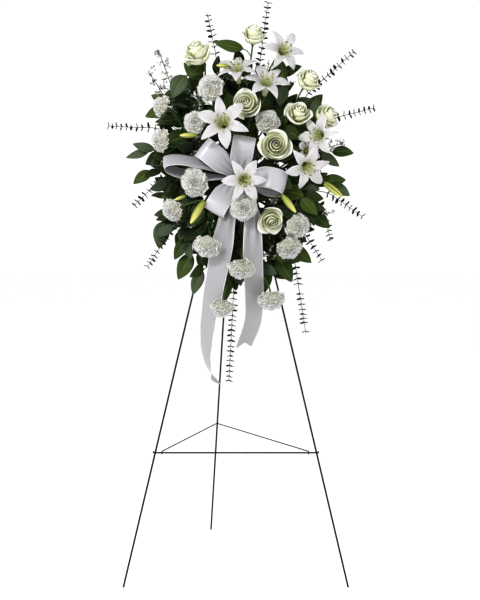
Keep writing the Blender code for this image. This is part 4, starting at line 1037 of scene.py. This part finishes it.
def blade(skin, tip, direction, normal, length, width, draw, steps=12, spread=4):
    """Ovate leaf with a channel along its midrib, a drooping tip and a wavy edge."""
    side = direction.cross(normal).normalized()
    upper = side.cross(direction)
    base = tip - direction * length
    wave = draw.uniform(0, math.tau)
    bend = draw.uniform(-0.05, 0.05)
    rows = []
    for i in range(steps + 1):
        t = i / steps
        swell = math.sin(math.pi * min(1.0, t ** 0.80)) ** 0.8 if t < 1 else 0.0
        half = width / 2 * max(0.03, swell) if t < 1 else 0.0002
        middle = base + direction * length * t
        middle += upper * length * (0.20 * t * (1 - t) + 0.018 * math.sin(2.6 * t))
        middle += side * bend * length * math.sin(math.pi * t)
        row = []
        for j in range(2 * spread + 1):
            u = j / spread - 1
            lift = half * (0.26 * abs(u) - 0.10 * u * u) + half * 0.07 * math.sin(9 * t + wave) * u * u
            row.append(middle + side * u * half * 0.985 + upper * lift)
        rows.append(row)
    skin.patch(rows, 0.0, draw.random())


def make_branch(name):
    """Stems, leaves and buds of one hole, found again on its solid."""
    tree = solid_tree(name)
    skin = Skin()
    leaves = Skin()
    start, leave = root_start(name)
    skin.tube(root_line(start, leave), ROOT_RADIUS, 8)
    lines = []
    for order, head in enumerate(BRANCH_HEADS[name]):
        base, axis = HEADS[head]
        end = base - axis * GAP
        radii = [STEM_RADIUS] * 5
        for swing, _ in tries(f"{name} {head}", SOLID_TRIES, 0.09):
            line = stalk(start, leave, end - axis * NECK, axis, swing, 3) + [end]
            if ring_hits(tree, line, radii, 3, order * 0.5, (1, 2, 3)) > 2:
                break
        else:
            raise RuntimeError(f"no stem found for {head}")
        fine = stalk(start, leave, end - axis * NECK, axis, swing, 14) + [end, end + axis * 0.004]
        flare = 0.0034 if head.startswith(("rose", "carnation")) else 0.0024
        skin.tube(fine, [STEM_RADIUS * 0.95] * 15 + [flare, flare], 8)
        lines.append(line)
    for order, (branch, spot, angle, lean, length) in enumerate(BUDS):
        if branch != name:
            continue
        for swing, _ in tries(f"{name} bud {order}", SOLID_TRIES, 0.06):
            direction = heading(angle, lean)
            middle = place(spot) + swing * 0.35
            half = direction * length * MM / 2
            thick = length * MM * 0.13 + 0.0015
            bud_line = [middle - half, middle - half * 0.5, middle + half * 0.25, middle + half]
            radii = [thick * part for part in (0.5, 1.0, 0.85, 0.2)]
            if ring_hits(tree, bud_line, radii, 5, 0.0, (1, 2, 3)) > 3:
                break
        else:
            raise RuntimeError(f"no bud {order} found on {name}")
        fork, along = nearest_on(lines, middle - half, 4)
        body = [middle + half * (2 * k / 12 - 1) for k in range(13)]
        radii = []
        for k in range(13):
            t = k / 12
            radii.append(thick * max(0.16, 0.98 * math.sin(math.pi * (0.14 + 0.80 * t)) ** 0.75))
        skin.tube(body, radii, 12, 1)
        twig = stalk(fork, along, middle - half * 0.9, direction, swing, 8)
        skin.tube(twig, TWIG_RADIUS * 1.2, 6)
    for order, (branch, spot, angle, lean, length, width) in enumerate(LEAVES):
        if branch != name:
            continue
        for shift, twist in tries(f"{name} leaf {order}", SOLID_LEAF_TRIES, 0.045):
            tip = place(spot) + shift * 0.5
            if touches(tree, tip):
                break
        else:
            raise RuntimeError(f"no leaf {order} found on {name}")
        direction = heading(angle + 14 * twist, lean + 10 * twist)
        normal = Matrix.Rotation(0.5 * twist, 3, direction) @ Vector((0, -1, 0.25))
        draw = random.Random(f"{name} blade {order}")
        blade(leaves, tip, direction, normal, length * MM, width * MM, draw)
        base = tip - direction * (length * MM - 0.003)
        fork, along = nearest_on(lines, base, 4)
        skin.tube(stalk(fork, along, base, direction, shift, 7), TWIG_RADIUS, 6)
    STEMS.extend(lines)
    skin.build(name + "_stems", [SEPAL, BUD], "leaf_green", [name])
    leaves.build(name + "_leaves", [LEAF], "leaf_green", (), LEAF_THICKNESS)


def along_line(line, distance):
    """Point at a distance along a line."""
    for a, b in zip(line, line[1:]):
        span = (b - a).length
        if distance <= span or b is line[-1]:
            return a.lerp(b, min(1.0, distance / span))
        distance -= span


def spray_stations(length, first, step):
    """Where a solid spray has its rings."""
    stations = [0.0, first * 0.35, first * 0.7]
    spot = first
    while spot < length - 0.004:
        stations += [spot - 0.0012, spot + 0.0012]
        spot += step
    return stations + [length]


def make_eucalyptus(name):
    """Thin stems with close pairs of small leaves, each pair turned against the last."""
    tree = solid_tree(name)
    skin = Skin()
    leaves = Skin()
    start, normal = root_start(name)
    skin.tube(root_line(start, normal), ROOT_RADIUS, 8)
    for order, (tip, leafy) in enumerate(EUCALYPTUS[name]):
        for swing, _ in tries(f"{name} {order}", SOLID_TRIES, 0.05):
            end = place(tip)
            knee = place(leafy) + swing * 0.6
            first = curve(start, start + normal * 0.05 + swing, knee - (end - knee) * 0.35, knee, 5)
            line = first + [knee.lerp(end, 0.5) + swing * 0.15, end]
            bare = length_of(first)
            length = length_of(line)
            stations = spray_stations(length, bare, SOLID_PAIR_STEP)
            centres = [along_line(line, s) for s in stations]
            radii = [(0.0013 - 0.0004 * s / length) * 1.4 for s in stations]
            if ring_hits(tree, centres, radii, 4, math.pi / 4, range(1, len(centres))) > 8:
                break
        else:
            raise RuntimeError(f"no spray {order} found on {name}")
        fine = smooth_line(line, 6)
        whole = length_of(fine)
        skin.tube(fine, [0.0015 - 0.0009 * k / (len(fine) - 1) for k in range(len(fine))], 6)
        draw = random.Random(f"{name} pairs {order}")
        spot = bare - 0.012
        pair = 0
        while spot < whole:
            missing = draw.random() < 0.04
            here = along_line(fine, spot)
            ahead = along_line(fine, min(whole, spot + 0.004))
            back = along_line(fine, max(0.0, spot - 0.004))
            tangent = (ahead - back).normalized()
            scale = 1.0 - 0.22 * max(0.0, spot - bare) / max(whole - bare, 0.001)
            if not missing:
                add_pair(leaves, here, tangent, pair, EUCALYPTUS_LEAF * scale, draw)
            spot += PAIR_STEP * scale * draw.uniform(0.85, 1.15)
            pair += 1
    skin.build(name + "_stems", [TWIG], "eucalyptus_green", [name])
    leaves.build(name + "_leaves", [EUCALYPTUS_LOOK], "eucalyptus_green", (), SMALL_LEAF_THICKNESS)


def add_pair(leaves, here, tangent, pair, size, draw):
    """Two opposite small leaves, nearly square to the stem."""
    across = tangent.cross(Vector((0, 1, 0))).normalized()
    turn = Matrix.Rotation(math.radians(32 * (pair % 2) + draw.uniform(-14, 14)), 3, tangent)
    for way in (-1, 1):
        out = turn @ (across * way)
        out = (out + tangent * draw.uniform(0.10, 0.35)).normalized()
        normal = (tangent - out * tangent.dot(out)).normalized()
        normal = Matrix.Rotation(draw.uniform(-0.65, 0.65), 3, out) @ normal
        side = out.cross(normal)
        length = size * draw.uniform(0.78, 1.05)
        rows = []
        for i in range(6):
            t = i / 5
            half = size * 0.34 * math.sin(math.pi * min(1.0, 0.10 + 0.86 * t ** 0.9)) ** 0.7
            middle = here + out * length * t + normal * size * 0.08 * math.sin(math.pi * t * 0.8)
            edge = normal * half * 0.3
            rows.append([middle - side * half + edge, middle, middle + side * half + edge])
        leaves.patch(rows, 0.0, draw.random() * 0.8)


def add_floret(skin, foot, spot, radius, draw, look=0, stalk_look=1):
    """Tiny open flower on a hair-thin stalk."""
    out = (spot - foot).normalized()
    side = out.orthogonal().normalized()
    upper = out.cross(side)
    skin.tube([foot, foot.lerp(spot, 0.5), spot], [0.0004, 0.0003, 0.0003], 4, stalk_look)
    turn = draw.uniform(0, math.tau)
    rings = []
    for reach, level in ((0.25, 0.0), (0.75, 0.35), (1.0, 0.9), (0.55, 0.75), (0.1, 0.6)):
        ring = []
        for j in range(11):
            angle = turn + math.tau * j / 10
            lobe = 1 + (0.22 if j % 2 else -0.12) * reach
            ring.append(spot + (side * math.cos(angle) + upper * math.sin(angle)) * radius * reach * lobe
                        + out * radius * level)
        rings.append(ring)
    skin.patch(rings, 0.0, draw.random(), look)


def make_filler(name):
    """Wiry twigs with side stalks that end in tiny florets."""
    tree = solid_tree(name)
    skin = Skin()
    start, leave = root_start(name)
    skin.tube(root_line(start, leave), ROOT_RADIUS, 8, 1)
    radii = [0.0015, 0.0014, 0.0013, 0.0012, 0.0011, 0.0009]
    for order, tip in enumerate(FILLER[name]):
        for swing, _ in tries(f"{name} {order}", SOLID_TRIES, 0.06):
            goal = place(tip) + swing * 0.5
            line = stalk(start, leave, goal, (goal - start).normalized(), swing, 5)
            if ring_hits(tree, line, radii, 3, 0.0, (2, 3, 4, 5)) > 4:
                break
        else:
            raise RuntimeError(f"no twig {order} found on {name}")
        fine = smooth_line(line, 3)
        skin.tube(fine, [0.0014 - 0.0006 * k / (len(fine) - 1) for k in range(len(fine))], 6, 1)
        draw = random.Random(f"{name} florets {order}")
        whole = length_of(fine)
        for k in range(CLUSTERS):
            foot = along_line(fine, (1 - k / CLUSTERS * 0.55) * whole)
            knot = foot + random_way(draw) * draw.uniform(0.006, 0.018)
            skin.tube([foot, foot.lerp(knot, 0.5), knot], [0.0006, 0.0005, 0.0004], 4, 1)
            for _ in range(FLORETS):
                spot = knot + random_way(draw) * draw.uniform(0.003, 0.009)
                add_floret(skin, knot, spot, draw.uniform(0.0014, 0.0027), draw)
    skin.build(name + "_sprigs", [FLORET, TWIG], "filler_white", [name])


# Close greens


def easel_front(height):
    """Y of the easel's front plane at a height."""
    return ORIGIN.y - math.tan(LEAN) * (PIN_HEIGHT - height)


def solid_walls(nodes):
    """Search tree over the faces of some solids."""
    points = []
    faces = []
    for node in nodes:
        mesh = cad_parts[node].data
        start = len(points)
        points += [vertex.co.copy() for vertex in mesh.vertices]
        faces += [[start + index for index in face.vertices] for face in mesh.polygons]
    return BVHTree.FromPolygons(points, faces)


def meets(trial, walls):
    """Whether a trial piece cuts into the solids."""
    return bool(BVHTree.FromPolygons(trial.points, trial.faces).overlap(walls))


def fill_spot(draw):
    """Random place in the oval between the easel and the flowers, and its outward angle."""
    angle = draw.uniform(0, math.tau)
    reach = math.sqrt(draw.uniform(0.02, 1.0))
    x = (FILL_MIDDLE[0] + FILL_REACH[0] * reach * math.cos(angle)) * MM
    z = (FILL_MIDDLE[1] + FILL_REACH[1] * reach * math.sin(angle)) * MM
    over_foam = abs(x) < 0.066 and 0.88 < z < 1.17
    depth = draw.uniform(0.100, 0.150) if over_foam else draw.uniform(0.022, 0.125)
    return Vector((x + ORIGIN.x, easel_front(z) - depth, z)), math.degrees(angle)


def make_close_greens():
    """Small shaded leaves and sprigs that close the gaps between the flowers."""
    walls = solid_walls([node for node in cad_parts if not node.startswith(FILL_IGNORES)])
    for half, side in ((-1, "left"), (1, "right")):
        leaves = Skin()
        twigs = Skin()
        draw = random.Random("close greens " + side)
        made = 0
        while made < FILL_LEAVES // 2:
            spot, angle = fill_spot(draw)
            length = draw.uniform(0.034, 0.062)
            width = length * draw.uniform(0.50, 0.64)
            direction = heading(angle + draw.uniform(-60, 60), draw.uniform(-5, 45))
            normal = Matrix.Rotation(draw.uniform(-0.8, 0.8), 3, direction) @ Vector((0, -1, 0.25))
            if spot.x * half < 0:
                continue
            fork, along = nearest_on(STEMS, spot, 4)
            if (fork - spot).length > FILL_TWIG:
                continue
            form = (spot + direction * length, direction, normal, length, width)
            seed = draw.random()
            trial = Skin()
            blade(trial, *form, random.Random(seed), *FILL_FINENESS)
            twig = stalk(fork, along, spot + direction * 0.003, direction, Vector(), 5)
            trial.tube(twig[1:], FILL_TWIG_RADIUS, 4)
            if meets(trial, walls):
                continue
            blade(leaves, *form, random.Random(seed), *FILL_FINENESS)
            twigs.tube(twig, FILL_TWIG_RADIUS, 5)
            made += 1
        for _ in range(FILL_SPRIGS // 2):
            add_sprig(twigs, half, walls, draw)
        leaves.build(f"close_leaves_{side}", [SHADE_LEAF], "leaf_green", (), SMALL_LEAF_THICKNESS)
        twigs.build(f"close_sprigs_{side}", [SEPAL, FLORET], "leaf_green")


def add_sprig(skin, half, walls, draw):
    """One short twig with tiny florets, clear of the solids."""
    for _ in range(SPRIG_TRIES):
        spot, angle = fill_spot(draw)
        if spot.x * half < 0:
            continue
        fork, along = nearest_on(STEMS, spot, 4)
        direction = heading(angle + draw.uniform(-40, 40), draw.uniform(20, 60))
        tip = spot + direction * 0.045
        line = stalk(fork, along, tip, direction, Vector(), 10)
        trial = Skin()
        trial.tube(line[1:], 0.004, 5)
        if (fork - spot).length < FILL_TWIG and not meets(trial, walls):
            break
    else:
        return
    skin.tube(line, 0.0008, 5)
    for k in range(SPRIG_FLORETS):
        foot = along_line(line, (0.35 + 0.65 * k / (SPRIG_FLORETS - 1)) * (tip - fork).length)
        spot = foot + random_way(draw) * draw.uniform(0.004, 0.012)
        add_floret(skin, foot, spot, draw.uniform(0.0016, 0.0028), draw, 1, 0)


# Ribbon


def ribbon(line, sides, shares, pleats, cup, ends=None):
    """Band of full width along a line; where its share is small it is pleated together."""
    frames = path_frames(line)
    total = length_of(line)
    rows = []
    walked = 0.0
    for k, (point, side, share) in enumerate(zip(line, sides, shares)):
        if k:
            walked += (point - line[k - 1]).length
        tangent = frames[k][0]
        across = (side - tangent * side.dot(tangent)).normalized()
        normal = tangent.cross(across)
        fold = RIBBON_WIDTH / (2 * pleats) * math.sqrt(max(0.0, 1 - share * share)) / 2
        row = []
        for j in range(RIBBON_COLUMNS):
            u = 2 * j / (RIBBON_COLUMNS - 1) - 1
            swing = math.asin(math.sin(math.pi * pleats * (u + 1))) * 2 / math.pi
            off = normal * (fold * swing + cup * RIBBON_WIDTH * share * (u * u - 0.4))
            end = Vector()
            if ends:
                cut = ends[0] + (ends[1] - ends[0]) * (u + 1) if u < 0 else ends[1] + (ends[2] - ends[1]) * u
                end = tangent * cut * MM * ease(total - 0.09, total, walked)
            row.append(point + across * RIBBON_WIDTH * share * u / 2 + off + end)
        rows.append(row)
    return rows


def sheet_area(rows):
    area = 0.0
    for upper, lower in zip(rows, rows[1:]):
        for a, b, c, d in zip(upper, upper[1:], lower[1:], lower):
            area += ((b - a).cross(c - a).length + (c - a).cross(d - a).length) / 2
    return area


def build_ribbon(name, rows, line, look, nodes=()):
    skin = Skin()
    skin.patch(rows)
    piece = skin.build(name, [look], "satin_white", nodes, RIBBON_THICKNESS)
    area = sheet_area(rows)
    length = max(length_of(line), area / RIBBON_WIDTH)


def make_bow():
    knot = place(BOW_KNOT)
    for order, (turn, tilt, roll, length, height) in enumerate(BOW_LOOPS):
        out = facing(turn, tilt)
        view = Vector((0, -1, 0))
        lift = (view - out * view.dot(out)).normalized()
        lift = Matrix.Rotation(math.radians(roll), 3, out) @ lift
        across = out.cross(lift)
        line = []
        shares = []
        for k in range(LOOP_STEPS + 1):
            t = math.tau * k / LOOP_STEPS
            along = (1 - math.cos(t)) / 2 * length * MM
            off = math.sin(t) * math.sin(t / 2) ** 1.2 * height * MM * 0.62
            line.append(knot + out * along + lift * off)
            shares.append(0.20 + 0.80 * ease(0.0, 0.62, (1 - math.cos(t)) / 2))
        rows = ribbon(line, [across] * len(line), shares, 3, 0.03)
        build_ribbon(f"bow_loop_{order + 1}", rows, line, SATIN)
    for order, (spots, turns, ends) in enumerate(TAILS):
        line = smooth_line([place(spot) for spot in spots], TAIL_STEPS)
        gather = list(TAIL_GATHER) + [1.0] * len(spots)
        shares = []
        sides = []
        for k in range(len(line)):
            part = k / TAIL_STEPS
            index = int(part)
            turn = mix(turns[index], turns[min(index + 1, len(turns) - 1)], ease(0, 1, part - index))
            turn = math.radians(turn)
            sides.append(Vector((math.cos(turn), math.sin(turn), 0)))
            shares.append(mix(gather[index], gather[index + 1], ease(0, 1, part - index)))
        rows = ribbon(line, sides, shares, 2, 0.035 if order else -0.04, ends)
        nodes = () if order else ["ribbon_bow"]
        build_ribbon(f"bow_tail_{order + 1}", rows, line, SHADED_TAIL_SATIN, nodes)
    wrap = []
    for i in range(15):
        angle = math.tau * i / 14
        row = []
        for j in range(9):
            u = j / 4 - 1
            radius = 0.0135 - 0.003 * u * u
            row.append(knot + Vector((math.cos(angle) * radius, u * 0.012, math.sin(angle) * radius)))
        wrap.append(row)
    skin = Skin()
    skin.patch(wrap)
    start = holder(-0.006, FOAM_BACK + FOAM_DEPTH, 0.116)
    normal = facing(0, math.degrees(-LEAN))
    pick = curve(start - normal * 0.028, start + normal * 0.03, knot + Vector((0, 0.03, 0)), knot, 10)
    skin.tube(pick, 0.0018, 6, 1)
    skin.build("bow_knot", [SATIN, TWIG], "satin_white", (), KNOT_THICKNESS)


# Stage

WALL_LIGHT = 1.06
DOME_LIGHT = 0.50
FLOOR_GLOW = 0.42
FLOOR_RADIUS = 14.0
FLOOR_SIDES = 64
VIEW_GAMMA = 0.70
# Lights: name, place, aim, size, power
LIGHTS = [
    ("key", (-1.3, -2.6, 2.6), (0.0, -0.1, 1.10), 0.6, 44.0),
    ("back", (1.8, 2.2, 2.6), (0.0, -0.1, 1.05), 1.6, 6.0),
]


def make_floor():
    mesh = bpy.data.meshes.new("floor")
    rim = [on_ring(math.tau * k / FLOOR_SIDES, FLOOR_RADIUS, 0.0) for k in range(FLOOR_SIDES)]
    mesh.from_pydata(rim, [], [tuple(range(FLOOR_SIDES))])
    look = Look("floor", 0.9)
    look.put({
        "Base Color": (0.90, 0.90, 0.90, 1.0),
        "Emission Color": (1.0, 1.0, 1.0, 1.0),
        "Emission Strength": FLOOR_GLOW,
        "Specular IOR Level": 0.0,
    })
    mesh.materials.append(look.material)
    add_object("floor", mesh)


def add_light(name, spot, aim, size, power):
    data = bpy.data.lights.new(name, "AREA")
    data.shape = "DISK"
    data.size = size
    data.energy = power
    lamp = add_object(name, data)
    lamp.location = spot
    lamp.rotation_euler = (Vector(aim) - Vector(spot)).to_track_quat("-Z", "Y").to_euler()


def make_studio():
    world = bpy.data.worlds.new("studio")
    world.use_nodes = True
    nodes = world.node_tree.nodes
    links = world.node_tree.links
    direction = nodes.new("ShaderNodeTexCoord")
    split = nodes.new("ShaderNodeSeparateXYZ")
    dome = nodes.new("ShaderNodeMapRange")
    limits = {"From Min": 0.40, "From Max": 0.60, "To Min": WALL_LIGHT, "To Max": DOME_LIGHT}
    for socket, value in limits.items():
        dome.inputs[socket].default_value = value
    links.new(direction.outputs["Generated"], split.inputs[0])
    links.new(split.outputs["Z"], dome.inputs["Value"])
    links.new(dome.outputs[0], nodes["Background"].inputs["Strength"])
    nodes["Background"].inputs["Color"].default_value = (1.0, 1.0, 1.0, 1.0)
    bpy.context.scene.world = world
    view = bpy.context.scene.view_settings
    view.view_transform = "Standard"
    view.gamma = VIEW_GAMMA
    for light in LIGHTS:
        add_light(*light)


def make_camera():
    data = bpy.data.cameras.new("camera")
    data.sensor_fit = "VERTICAL"
    data.sensor_height = CAMERA_SENSOR
    data.lens = CAMERA_LENS
    camera = add_object("camera", data)
    camera.location = CAMERA_PLACE
    camera.rotation_euler = (math.pi / 2 - CAMERA_DOWN, 0.0, 0.0)
    bpy.context.scene.camera = camera


dress_solids()
make_heads()
for branch_name in BRANCH_HEADS:
    make_branch(branch_name)
for spray_name in EUCALYPTUS:
    make_eucalyptus(spray_name)
for filler_name in FILLER:
    make_filler(filler_name)
make_close_greens()
make_bow()
make_floor()
make_studio()
make_camera()
